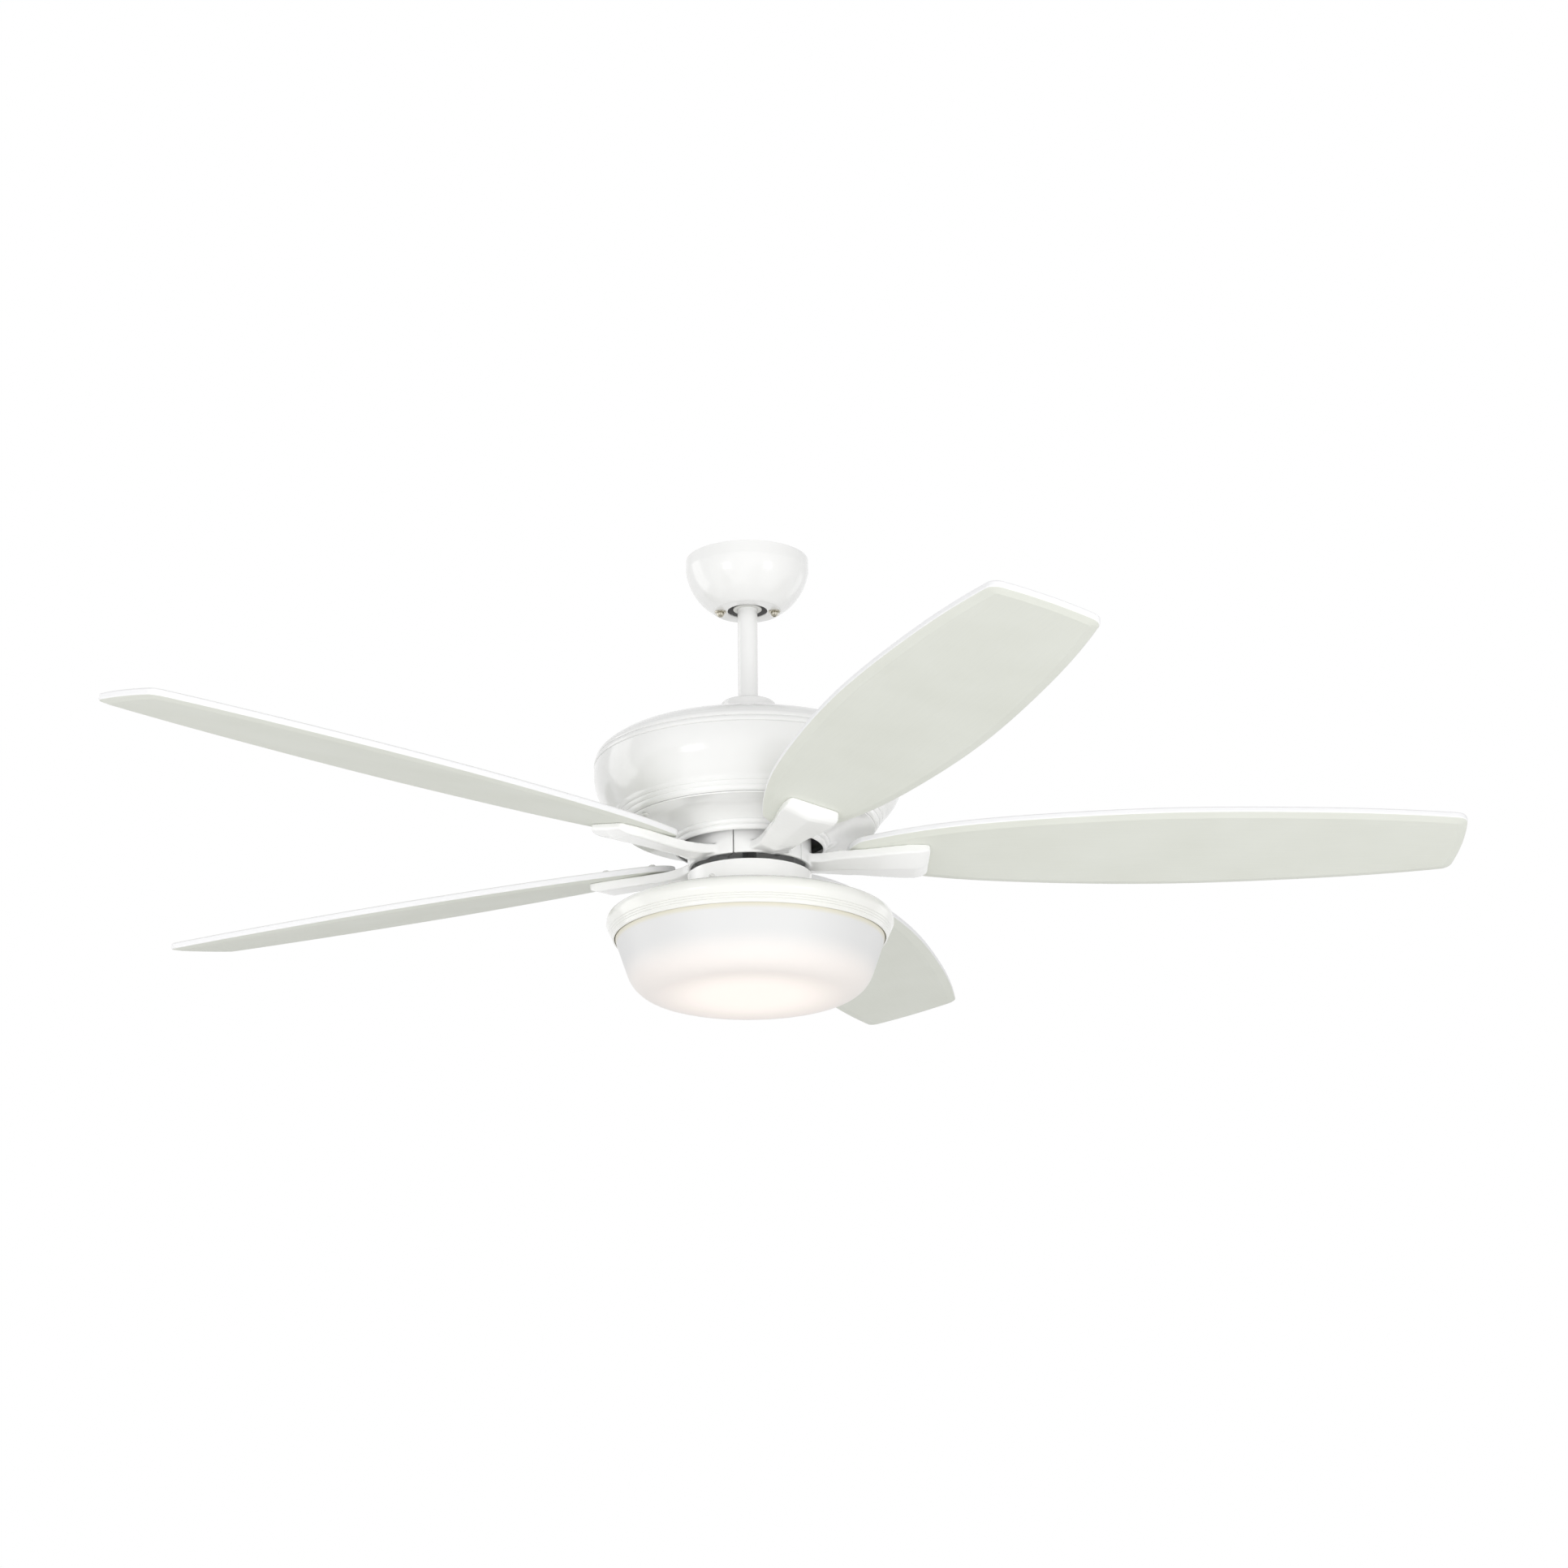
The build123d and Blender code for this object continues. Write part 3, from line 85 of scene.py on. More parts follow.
def gloss_enamel(name, colour, shade, peel_mm=1.6, peel=0.00002, roughness=0.18):
    """Enamel or moulding: two close tones in slow clouds, and a fine peel in the surface."""
    cloud_mm = 45
    material, tree, shader = new_material(name)
    place = add_node(tree, "ShaderNodeTexCoord").outputs["Object"]
    clouds = add_node(
        tree, "ShaderNodeTexNoise", values={"Scale": 1000 / cloud_mm, "Detail": 2.0},
        links={"Vector": place},
    )
    mix = add_node(
        tree, "ShaderNodeMix", {"data_type": "RGBA"},
        {"A": linear(colour), "B": linear(shade)}, {"Factor": clouds.outputs["Fac"]},
    )
    ripple = add_node(
        tree, "ShaderNodeTexNoise", values={"Scale": 1000 / peel_mm, "Detail": 1.0},
        links={"Vector": place},
    )
    bump = add_node(
        tree, "ShaderNodeBump", values={"Strength": 0.25, "Distance": peel},
        links={"Height": ripple.outputs["Fac"]},
    )
    tree.links.new(mix.outputs["Result"], shader.inputs["Base Color"])
    tree.links.new(bump.outputs["Normal"], shader.inputs["Normal"])
    shader.inputs["Roughness"].default_value = roughness
    shader.inputs["IOR"].default_value = 1.5
    shader.inputs["Coat Weight"].default_value = 0.5
    shader.inputs["Coat Roughness"].default_value = 0.07
    return material


enamel = gloss_enamel("stoved_gloss_enamel", "#F5F5F4", "#F1F1F0")
dress(enamel, "downrod", "coupling_cover")
# The switch cup gets a paler copy of the same enamel: painted light.
dress(gloss_enamel("gloss_enamel_painted_lighter", "#FDFDFC", "#FAFAF9"), "switch_cup")

# ---------------------------------------------------------------------------------------
# Canopy: a deep bowl spun from steel sheet, enamelled outside. Its inside is painted near
# black as painted shade, which shows as dark crescents round the hanger ball. Two screws
# with cupped washers hold it up, through the flat floor round its hole.


def bow(start, end, bulge, steps=6):
    """Points of a flat arc from start to end, bulging to the left of its travel."""
    (ax, ay), (bx, by) = start, end
    length = math.hypot(bx - ax, by - ay)
    nx, ny = -(by - ay) / length, (bx - ax) / length
    points = []
    for step in range(steps + 1):
        share = step / steps
        lift = bulge * 4 * share * (1 - share)
        points.append((ax + (bx - ax) * share + nx * lift, ay + (by - ay) * share + ny * lift))
    return points


def pick(*pieces):
    """Selects these pieces alone and makes the first one active."""
    bpy.ops.object.select_all(action="DESELECT")
    for piece in pieces:
        piece.select_set(True)
    bpy.context.view_layer.objects.active = pieces[0]


def spin_outline(name, outline, steps):
    """Spins an outline of (radius, height) all the way round Z, closed where it meets itself."""
    merge = 0.000001
    data = bpy.data.meshes.new(name)
    edges = [(i, i + 1) for i in range(len(outline) - 1)]
    data.from_pydata([(r, 0, z) for r, z in outline], edges, [])
    piece = bpy.data.objects.new(name, data)
    bpy.context.scene.collection.objects.link(piece)
    pick(piece)
    spun = piece.modifiers.new("spun", "SCREW")
    spun.angle, spun.steps, spun.render_steps = math.tau, steps, steps
    spun.use_merge_vertices, spun.merge_threshold = True, merge
    bpy.ops.object.modifier_apply(modifier=spun.name)
    bpy.ops.object.mode_set(mode="EDIT")
    bpy.ops.mesh.select_all(action="SELECT")
    bpy.ops.mesh.remove_doubles(threshold=merge)
    bpy.ops.mesh.normals_make_consistent(inside=False)
    bpy.ops.object.mode_set(mode="OBJECT")
    return piece


def spun_shell(name, outline, wall, finish, inside=None):
    """Spins an outline, gives it a wall on the inside, and another finish there if one is named."""
    shell = spin_outline(name, outline, 192)
    walls = shell.modifiers.new("wall", "SOLIDIFY")
    walls.thickness, walls.offset = wall, -1
    shell.data.materials.append(finish)
    if inside:
        shell.data.materials.append(inside)
        walls.material_offset = 1
    bpy.ops.object.modifier_apply(modifier=walls.name)
    bpy.ops.object.shade_smooth_by_angle(angle=math.radians(28))
    return shell


# Near-black finish inside the canopy: painted shade.
inside_painted_shade = gloss_enamel("black_painted_shade_inside", "#2B2826", "#242120", peel_mm=1.2, peel=0.00003, roughness=0.6)
canopy_radius, canopy_floor, canopy_hole = 0.0660, -0.0572, 0.0214
canopy_outline = [(canopy_radius, 0.0), (canopy_radius, -0.0006), (canopy_radius, -0.0125)]
canopy_outline += bow((canopy_radius, -0.0130), (0.0366, -0.0568), bulge=0.0058, steps=20)
canopy_outline += [(0.0358, -0.0571), (0.0350, canopy_floor), (0.0280, canopy_floor)]
canopy_outline += [(canopy_hole + 0.0008, canopy_floor), (canopy_hole, canopy_floor + 0.0003)]
canopy_shell = spun_shell("spun_canopy", canopy_outline, wall=0.0012, finish=enamel, inside=inside_painted_shade)
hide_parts("canopy")
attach(canopy_shell, "ceiling_mount")

# ---------------------------------------------------------------------------------------
# Motor housing, upper and lower: two spun steel shells. The upper one has two rolled beads
# under its shoulder and three round its foot; the lower one sweeps in as a hollow and ends
# in a thin bead and a rolled band, just above the blade arms.


def beads(points, bulge, groove_wide, groove_deep):
    """A row of rolled beads with a sharp groove between each two."""
    row = []
    for (ax, ay), (bx, by) in zip(points, points[1:]):
        length = math.hypot(bx - ax, by - ay)
        ux, uy = (bx - ax) / length, (by - ay) / length
        half = groove_wide / 2
        inner = bow((ax + ux * half, ay + uy * half), (bx - ux * half, by - uy * half), bulge)
        row += inner + [(bx + uy * groove_deep, by - ux * groove_deep)]
    return row


housing_top, housing_shoulder = -0.208, (0.1602, -0.2226)
upper_outline = [(0.0076, housing_top), (0.070, housing_top), (0.1338, housing_top)]
upper_outline += bow((0.1338, housing_top), housing_shoulder, bulge=0.0022, steps=10)[1:]
upper_outline += beads(
    [housing_shoulder, (0.1630, -0.2293), (0.1643, -0.2356)],
    bulge=0.0008, groove_wide=0.0009, groove_deep=0.0013,
)
upper_outline += bow((0.16415, -0.2362), (0.1442, -0.2871), bulge=0.0069, steps=24)
upper_outline += beads(
    [(0.1440, -0.2875), (0.1410, -0.2920), (0.1380, -0.2965)],
    bulge=0.0003, groove_wide=0.0007, groove_deep=0.0005,
)
upper_outline += bow((0.1377, -0.2970), (0.1350, -0.3010), bulge=0.0004)
upper_outline += [(0.1335, -0.3018), (0.1180, -0.3018)]
upper_housing = spun_shell("spun_upper_housing", upper_outline, wall=0.0014, finish=enamel)
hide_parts("motor_housing_upper")
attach(upper_housing, "hanging_motor")

lower_outline = [
    (0.1180, -0.3022), (0.1332, -0.3022), (0.1334, -0.3030), (0.1330, -0.3036), (0.1255, -0.3039),
]
lower_outline += bow((0.1180, -0.3044), (0.0850, -0.3160), bulge=-0.0031, steps=16)
lower_outline += [(0.0842, -0.3161)]
lower_outline += bow((0.0844, -0.3170), (0.0824, -0.3206), bulge=0.0007) + [(0.0812, -0.3208)]
lower_outline += bow((0.0816, -0.3214), (0.0795, -0.3262), bulge=0.0010)
lower_outline += [(0.0785, -0.3264), (0.0778, -0.3258)]
lower_housing = spun_shell("spun_lower_housing", lower_outline, wall=0.0010, finish=enamel)
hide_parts("motor_housing_lower")
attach(lower_housing, "hanging_motor")

# ---------------------------------------------------------------------------------------
# Light pan: a spun steel dish in the white enamel, painted greyer and warmer as painted
# shade with a warm cast of lamp light, screwed under the switch cup.
# Its shoulder rolls over into a short side, and three fine lines are rolled in above its
# lower edge.


def arc_points(middle_radius, middle_height, radius, turns):
    """Points of an arc about its middle, each turned by degrees from straight up."""
    return [
        (middle_radius + radius * math.sin(a), middle_height + radius * math.cos(a))
        for a in (math.radians(turn) for turn in turns)
    ]


pan_top, pan_side = -0.3906, 0.1510
pan_outline = [(0.0400, pan_top), (0.0800, pan_top)]
pan_outline += arc_points(
    middle_radius=0.118, middle_height=-0.4523, radius=0.0617, turns=range(0, 26, 5)
)
pan_outline += arc_points(
    middle_radius=0.141, middle_height=-0.406, radius=0.010, turns=[*range(28, 85, 8), 90]
)
pan_outline += bow((pan_side, -0.4080), (0.1481, -0.4143), bulge=0.0001, steps=4)
for radius, height in ((0.1478, -0.4149), (0.14675, -0.4172), (0.1457, -0.4195)):
    pan_outline += [
        (radius - 0.0007, height), (radius - 0.00015, height - 0.0005),
        (radius - 0.0006, height - 0.0013), (radius - 0.0009, height - 0.0018),
    ]
pan_outline += bow((0.1449, -0.4215), (0.1436, -0.4238), bulge=0.0003, steps=4)
pan_outline += [(0.1431, -0.4240), (0.1424, -0.4236)]
# A greyer, warmer copy of the white enamel: painted shade with a warm cast of lamp light.
pan_enamel_painted_shade = gloss_enamel("stoved_enamel_painted_warm_shade", "#EEEEEA", "#EAEAE6")
pan_shell = spun_shell("spun_light_pan", pan_outline, wall=0.0010, finish=pan_enamel_painted_shade)
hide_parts("light_pan")
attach(pan_shell, "hanging_motor")

# ---------------------------------------------------------------------------------------
# Blade arms: aluminium die castings under the same white enamel. Each is a fifth of the
# ring under the motor, a foot behind it, and an arm with a low keel and soft cast edges
# that twists up to the blade's pitch and spreads into a pad.

# A paler copy of the white enamel on the arms, as painted light, with its own peel and gloss.
cast_enamel_painted_lighter = gloss_enamel(
    "enamelled_die_casting_painted_lighter", "#FAFAF9", "#F6F6F5", peel_mm=2.4, peel=0.00004, roughness=0.22
)
blade_turns = [math.radians(3 - 72 * number) for number in range(5)]
blade_pitch, blade_cone = math.radians(12.2), math.radians(1.5)
blade_height, board_half = -0.332, 0.0045
arm_top, ring_foot, ring_radius, ring_wall = -0.312, -0.347, 0.0654, 0.004
foot_reach, ring_seam = 0.044, 0.0004
# Reach, half width, share of the pitch, height of the side walls, height of the keel.
arm_rows = (
    (0.0580, 0.0250, 0.00, 0.0090, 0.0030), (0.0612, 0.0230, 0.02, 0.0092, 0.0032),
    (0.0650, 0.0211, 0.09, 0.0095, 0.0034), (0.0690, 0.0196, 0.19, 0.0098, 0.0037),
    (0.0735, 0.0184, 0.33, 0.0100, 0.0040), (0.0785, 0.0178, 0.48, 0.0101, 0.0042),
    (0.0860, 0.0177, 0.74, 0.0100, 0.0039), (0.0940, 0.0181, 0.93, 0.0100, 0.0039),
    (0.1010, 0.0188, 1.00, 0.0100, 0.0039), (0.1100, 0.0197, 1.00, 0.0100, 0.0039),
    (0.1200, 0.0207, 1.00, 0.0100, 0.0039), (0.1280, 0.0220, 1.00, 0.0100, 0.0039),
    (0.1360, 0.0235, 1.00, 0.0100, 0.0039), (0.1440, 0.0251, 1.00, 0.0100, 0.0039),
    (0.1520, 0.0265, 1.00, 0.0100, 0.0039), (0.1600, 0.0276, 1.00, 0.0100, 0.0039),
    (0.1680, 0.0283, 1.00, 0.0100, 0.0039), (0.1760, 0.0285, 1.00, 0.0100, 0.0039),
    (0.1810, 0.0285, 1.00, 0.0093, 0.0032), (0.1850, 0.0280, 1.00, 0.0082, 0.0021),
    (0.1880, 0.0264, 1.00, 0.0072, 0.0010), (0.1893, 0.0247, 1.00, 0.0067, 0.0006),
    (0.1900, 0.0222, 1.00, 0.0064, 0.0003),
)


def cast_arm(name, turn):
    """One arm casting about the X axis, turned to its place."""
    shape = bmesh.new()
    rings = []
    under_board = board_half / math.cos(blade_pitch)
    for reach, half, share, wall, keel in arm_rows:
        angle = blade_pitch * share
        across = Vector((0, math.cos(angle), -math.sin(angle)))
        down = Vector((0, -math.sin(angle), -math.cos(angle)))
        middle = Vector((reach, 0, blade_height + reach * math.tan(blade_cone) - under_board))
        outline = [
            (-half, 0), (-half * 0.5, 0), (0, 0), (half * 0.5, 0), (half, 0), (half, wall * 0.5),
            (half, wall), (half * 0.5, wall + keel * 0.5), (0, wall + keel),
            (-half * 0.5, wall + keel * 0.5), (-half, wall), (-half, wall * 0.5),
        ]
        rings.append([
            shape.verts.new(middle + across * side + down * depth) for side, depth in outline
        ])
    for near, far in zip(rings, rings[1:]):
        for i in range(len(near)):
            j = (i + 1) % len(near)
            shape.faces.new((near[i], near[j], far[j], far[i]))
    shape.faces.new(list(reversed(rings[0])))
    shape.faces.new(rings[-1])
    # The fifth of the ring and the foot are two arcs of plain section.
    half_fifth = math.radians(36) - ring_seam / ring_radius
    steps = 36
    for inner, outer, low, high in (
        (ring_radius - ring_wall, ring_radius, ring_foot, arm_top),
        (foot_reach, ring_radius, arm_top - ring_wall, arm_top),
    ):
        loops = []
        for step in range(steps + 1):
            angle = -half_fifth + 2 * half_fifth * step / steps
            out = Vector((math.cos(angle), math.sin(angle), 0))
            loops.append([
                shape.verts.new(out * r + Vector((0, 0, z)))
                for r, z in ((inner, low), (outer, low), (outer, high), (inner, high))
            ])
        for near, far in zip(loops, loops[1:]):
            for i in range(4):
                j = (i + 1) % 4
                shape.faces.new((near[i], near[j], far[j], far[i]))
        shape.faces.new(list(reversed(loops[0])))
        shape.faces.new(loops[-1])
    bmesh.ops.recalc_face_normals(shape, faces=shape.faces)
    bmesh.ops.rotate(shape, verts=shape.verts, cent=(0, 0, 0), matrix=Matrix.Rotation(turn, 3, "Z"))
    data = bpy.data.meshes.new(name)
    shape.to_mesh(data)
    shape.free()
    piece = bpy.data.objects.new(name, data)
    bpy.context.scene.collection.objects.link(piece)
    return piece


def settle(piece, *changes):
    """Adds modifiers to a piece and applies them one by one."""
    pick(piece)
    for kind, settings in changes:
        modifier = piece.modifiers.new(kind.lower(), kind)
        for key, value in settings.items():
            setattr(modifier, key, value)
        bpy.ops.object.modifier_apply(modifier=modifier.name)
    bpy.ops.object.shade_smooth()


for number, turn in enumerate(blade_turns, 1):
    arm = cast_arm("cast_arm_%d" % number, turn)
    settle(
        arm,
        ("REMESH", {"mode": "VOXEL", "voxel_size": 0.00085}),
        ("SMOOTH", {"factor": 0.5, "iterations": 14}),
    )
    arm.data.materials.append(cast_enamel_painted_lighter)
    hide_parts("blade_arm_%d" % number)
    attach(arm, "rotor")

# ---------------------------------------------------------------------------------------
# Blades: medium density fibreboard wrapped on both faces and over the long bevels in a
# satin paper foil of pale warm grey, with a faint wood figure along the blade. The narrow
# routed edge is sprayed white.


def foiled_board(number, turn):
    """Blade finish, with its grain and its face direction turned to the blade's own place."""
    grain_mm, cloud_mm = 1.4, 90
    material, tree, shader = new_material("foiled_fibreboard_%d" % number)
    coordinates = add_node(tree, "ShaderNodeTexCoord")
    place = coordinates.outputs["Object"]
    along = add_node(
        tree, "ShaderNodeMapping", {"vector_type": "POINT"}, {"Rotation": (0, 0, -turn)}, {"Vector": place}
    )
    face = Matrix.Rotation(turn, 3, "Z") @ Vector((
        -math.sin(blade_cone) * math.cos(blade_pitch), math.sin(blade_pitch), math.cos(blade_pitch),
    )).normalized()
    facing = add_node(
        tree, "ShaderNodeVectorMath", {"operation": "DOT_PRODUCT"}, {1: face},
        {0: coordinates.outputs["Normal"]},
    )
    either = add_node(
        tree, "ShaderNodeMath", {"operation": "ABSOLUTE"}, links={0: facing.outputs["Value"]}
    )
    covered = add_node(
        tree, "ShaderNodeMapRange", {"interpolation_type": "SMOOTHSTEP"},
        {"From Min": 0.72, "From Max": 0.88}, {"Value": either.outputs["Value"]},
    )
    # Grain lines run on for about 70 times their spacing.
    stretch = add_node(
        tree, "ShaderNodeVectorMath", {"operation": "MULTIPLY"}, {1: (0.014, 1.0, 1.0)},
        {0: along.outputs["Vector"]},
    )
    grain = add_node(
        tree, "ShaderNodeTexNoise", values={"Scale": 1000 / grain_mm, "Detail": 3.0, "Roughness": 0.6},
        links={"Vector": stretch.outputs["Vector"]},
    )
    clouds = add_node(
        tree, "ShaderNodeTexNoise", values={"Scale": 1000 / cloud_mm, "Detail": 2.0},
        links={"Vector": place},
    )
    figure = add_node(
        tree, "ShaderNodeMath", {"operation": "MULTIPLY_ADD"}, {1: 0.5},
        {0: grain.outputs["Fac"], 2: clouds.outputs["Fac"]},
    )
    spread = add_node(
        tree, "ShaderNodeMapRange", values={"From Min": 0.5, "From Max": 1.0},
        links={"Value": figure.outputs["Value"]},
    )
    foil = add_node(
        tree, "ShaderNodeMix", {"data_type": "RGBA"},
        {"A": linear("#E5E7DF"), "B": linear("#E0E2D9")}, {"Factor": spread.outputs["Result"]},
    )
    edge = add_node(
        tree, "ShaderNodeMix", {"data_type": "RGBA"},
        {"A": linear("#F5F5F6")}, {"Factor": covered.outputs["Result"], "B": foil.outputs["Result"]},
    )
    bump = add_node(
        tree, "ShaderNodeBump", values={"Strength": 0.15, "Distance": 0.00003},
        links={"Height": grain.outputs["Fac"]},
    )
    tree.links.new(edge.outputs["Result"], shader.inputs["Base Color"])
    tree.links.new(bump.outputs["Normal"], shader.inputs["Normal"])
    shader.inputs["Roughness"].default_value = 0.55
    shader.inputs["IOR"].default_value = 1.45
    shader.inputs["Specular IOR Level"].default_value = 0.3
    return material


for number, turn in enumerate(blade_turns, 1):
    dress(foiled_board(number, turn), "blade_%d" % number)

# ---------------------------------------------------------------------------------------
# Glass bowl: blown opal glass, acid etched outside to a satin and hung in the pan by its
# rim. The lamp board's light through it is painted: a painted glow, strongest and warmest on
# its floor, where the colour is painted paler and warmer, while its wall stays a plain grey white.
# A thin darker warm line under the pan's lower edge is a painted shadow with a faint warm glow.

# Heights and radii between which one painted tint or glow of the glass passes into the next.
wall_end, floor_start = -0.446, -0.480
floor_side, floor_middle = 0.118, 0.040
rim_start, rim_end = -0.4300, -0.4250
etch_mm = 0.5
opal, tree, shader = new_material("etched_opal_glass")
place = add_node(tree, "ShaderNodeTexCoord").outputs["Object"]
axes = add_node(tree, "ShaderNodeSeparateXYZ", links={"Vector": place})
flat = add_node(tree, "ShaderNodeCombineXYZ", links={"X": axes.outputs["X"], "Y": axes.outputs["Y"]})
reach = add_node(tree, "ShaderNodeVectorMath", {"operation": "LENGTH"}, links={0: flat.outputs["Vector"]})
depth = add_node(
    tree, "ShaderNodeMapRange", {"interpolation_type": "SMOOTHSTEP"},
    {"From Min": wall_end, "From Max": floor_start}, {"Value": axes.outputs["Z"]},
)
middle = add_node(
    tree, "ShaderNodeMapRange", {"interpolation_type": "SMOOTHSTEP"},
    {"From Min": floor_side, "From Max": floor_middle}, {"Value": reach.outputs["Value"]},
)
floor_light = add_node(
    tree, "ShaderNodeMath", {"operation": "MULTIPLY"},
    links={0: depth.outputs["Result"], 1: middle.outputs["Result"]},
)
# Painted glow: the glass gives light, though it is no lamp.
glow = add_node(
    tree, "ShaderNodeMix", {"data_type": "RGBA"},
    {"A": (0.020, 0.020, 0.020, 1), "B": (0.30, 0.25, 0.215, 1)}, {"Factor": floor_light.outputs["Value"]},
)
# The band just under the pan's edge, where the painted shadow and a faint warm glow go.
rim_shadow_mask = add_node(
    tree, "ShaderNodeMapRange", {"interpolation_type": "SMOOTHSTEP"},
    {"From Min": rim_start, "From Max": rim_end}, {"Value": axes.outputs["Z"]},
)
rim_glow = add_node(
    tree, "ShaderNodeMix", {"data_type": "RGBA"},
    {"B": (0.020, 0.019, 0.015, 1)}, {"Factor": rim_shadow_mask.outputs["Result"], "A": glow.outputs["Result"]},
)
# Paler, warmer colour on the floor: painted light from the lamp board.
body = add_node(
    tree, "ShaderNodeMix", {"data_type": "RGBA"},
    {"A": linear("#DBDBDB"), "B": linear("#F2ECE8")}, {"Factor": depth.outputs["Result"]},
)
# A darker warm band under the pan's edge: painted shadow.
tint_with_painted_lip_shadow = add_node(
    tree, "ShaderNodeMix", {"data_type": "RGBA"},
    {"B": linear("#DAD6C6")}, {"Factor": rim_shadow_mask.outputs["Result"], "A": body.outputs["Result"]},
)
etch = add_node(
    tree, "ShaderNodeTexNoise", values={"Scale": 1000 / etch_mm, "Detail": 2.0}, links={"Vector": place}
)
bump = add_node(
    tree, "ShaderNodeBump", values={"Strength": 0.15, "Distance": 0.00002},
    links={"Height": etch.outputs["Fac"]},
)
tree.links.new(tint_with_painted_lip_shadow.outputs["Result"], shader.inputs["Base Color"])
tree.links.new(rim_glow.outputs["Result"], shader.inputs["Emission Color"])
tree.links.new(bump.outputs["Normal"], shader.inputs["Normal"])
shader.inputs["Emission Strength"].default_value = 1.0
shader.inputs["Roughness"].default_value = 0.42
shader.inputs["IOR"].default_value = 1.5
dress(opal, "glass_bowl")

# ---------------------------------------------------------------------------------------
# Hanger, yoke, clamps and plates: pressed mild steel, zinc plated and clear passivated,
# which leaves a soft blue-white shine with a fine crystal grain.


def plated(name, colour, roughness, grain_mm=0.4, worn=0.86):
    """Plated or ground metal with a fine uneven grain in its gloss."""
    material, tree, shader = new_material(name)
    place = add_node(tree, "ShaderNodeTexCoord").outputs["Object"]
    grain = add_node(
        tree, "ShaderNodeTexNoise", values={"Scale": 1000 / grain_mm, "Detail": 2.0},
        links={"Vector": place},
    )
    gloss = add_node(
        tree, "ShaderNodeMapRange", values={"To Min": roughness * 0.8, "To Max": roughness * 1.25},
        links={"Value": grain.outputs["Fac"]},
    )
    tint = add_node(
        tree, "ShaderNodeMix", {"data_type": "RGBA"},
        {"A": linear(colour), "B": [c * worn for c in linear(colour)[:3]] + [1]},
        {"Factor": grain.outputs["Fac"]},
    )
    tree.links.new(gloss.outputs["Result"], shader.inputs["Roughness"])
    tree.links.new(tint.outputs["Result"], shader.inputs["Base Color"])
    shader.inputs["Metallic"].default_value = 1.0
    return material


zinc = plated("zinc_plated_steel", "#C9CBCC", roughness=0.32)
dress(
    zinc, "hanger_bracket", "ball_cross_pin", "ball_set_screw", "motor_yoke", "clevis_pin", "hairpin_clip",
    "housing_hanger_plate", "light_adapter_plate", "shaft_nuts", "lock_washer", "pan_posts", "rotor_screws",
)

# ---------------------------------------------------------------------------------------
# Hanger ball and capacitor: the ball is moulded in off-white nylon, which slides dry in the
# bracket, with a flared skirt round the rod that fills most of the canopy's hole. The
# capacitor's box is moulded in black resin.

natural_nylon = gloss_enamel(
    "natural_moulded_nylon", "#DEDEDA", "#D6D6D1", peel_mm=1.2, peel=0.00004, roughness=0.45
)
dress(natural_nylon, "hanger_ball")
# A closed outline spins to a solid ring, so its wall is only a thin skin.
ring_skin = 0.00002
skirt_bore, skirt_top, skirt_foot = 0.0109, -0.0496, -0.0556
skirt_outline = [
    (skirt_bore, skirt_top), (0.0130, skirt_top), (0.0137, -0.0506), (0.0147, -0.0530), (0.0154, -0.0547),
    (0.0154, -0.0552), (0.0149, skirt_foot), (skirt_bore, skirt_foot), (skirt_bore, skirt_top),
]
ball_skirt = spun_shell("ball_skirt", skirt_outline, wall=ring_skin, finish=natural_nylon)
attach(ball_skirt, "hanging_motor")
resin = gloss_enamel(
    "black_moulded_resin", "#242424", "#1D1D1D", peel_mm=1.2, peel=0.00004, roughness=0.5
)
dress(resin, "run_capacitor")

# ---------------------------------------------------------------------------------------
# Motor: ground steel shaft and bearings, a blackened rotor ring and a stator of stamped
# sheets, wound with lacquered copper wire, between two cast covers. The sheets and turns
# are drawn about 2 mm apart, coarser than the real ones, so that they show.

steel = plated("ground_bearing_steel", "#B5B5B5", roughness=0.22)
dress(
    steel, "motor_shaft", "upper_inner_race", "lower_inner_race", "upper_outer_race", "lower_outer_race",
    "bearing_balls",
)
alloy = plated("die_cast_aluminium", "#C2C4C5", roughness=0.4, grain_mm=1.2)
dress(alloy, "rotor_upper_cover", "rotor_lower_cover", "led_heat_sink")


def layered_metal(name, colour, gap, roughness, pitch_mm):
    """Metal in layers across Z: stamped sheets in a stack, or turns of wire in a coil."""
    # A band texture of scale 1 repeats every pi / 10 of a metre.
    bands = math.pi / 10 * 1000 / pitch_mm
    material, tree, shader = new_material(name)
    place = add_node(tree, "ShaderNodeTexCoord").outputs["Object"]
    layers = add_node(
        tree, "ShaderNodeTexWave", {"wave_type": "BANDS", "bands_direction": "Z"},
        {"Scale": bands, "Distortion": 0.4, "Detail": 1.0}, {"Vector": place},
    )
    tint = add_node(
        tree, "ShaderNodeMix", {"data_type": "RGBA"},
        {"A": linear(gap), "B": linear(colour)}, {"Factor": layers.outputs["Fac"]},
    )
    bump = add_node(
        tree, "ShaderNodeBump", values={"Strength": 0.6, "Distance": 0.0002},
        links={"Height": layers.outputs["Fac"]},
    )
    tree.links.new(tint.outputs["Result"], shader.inputs["Base Color"])
    tree.links.new(bump.outputs["Normal"], shader.inputs["Normal"])
    shader.inputs["Roughness"].default_value = roughness
    shader.inputs["Metallic"].default_value = 1.0
    return material


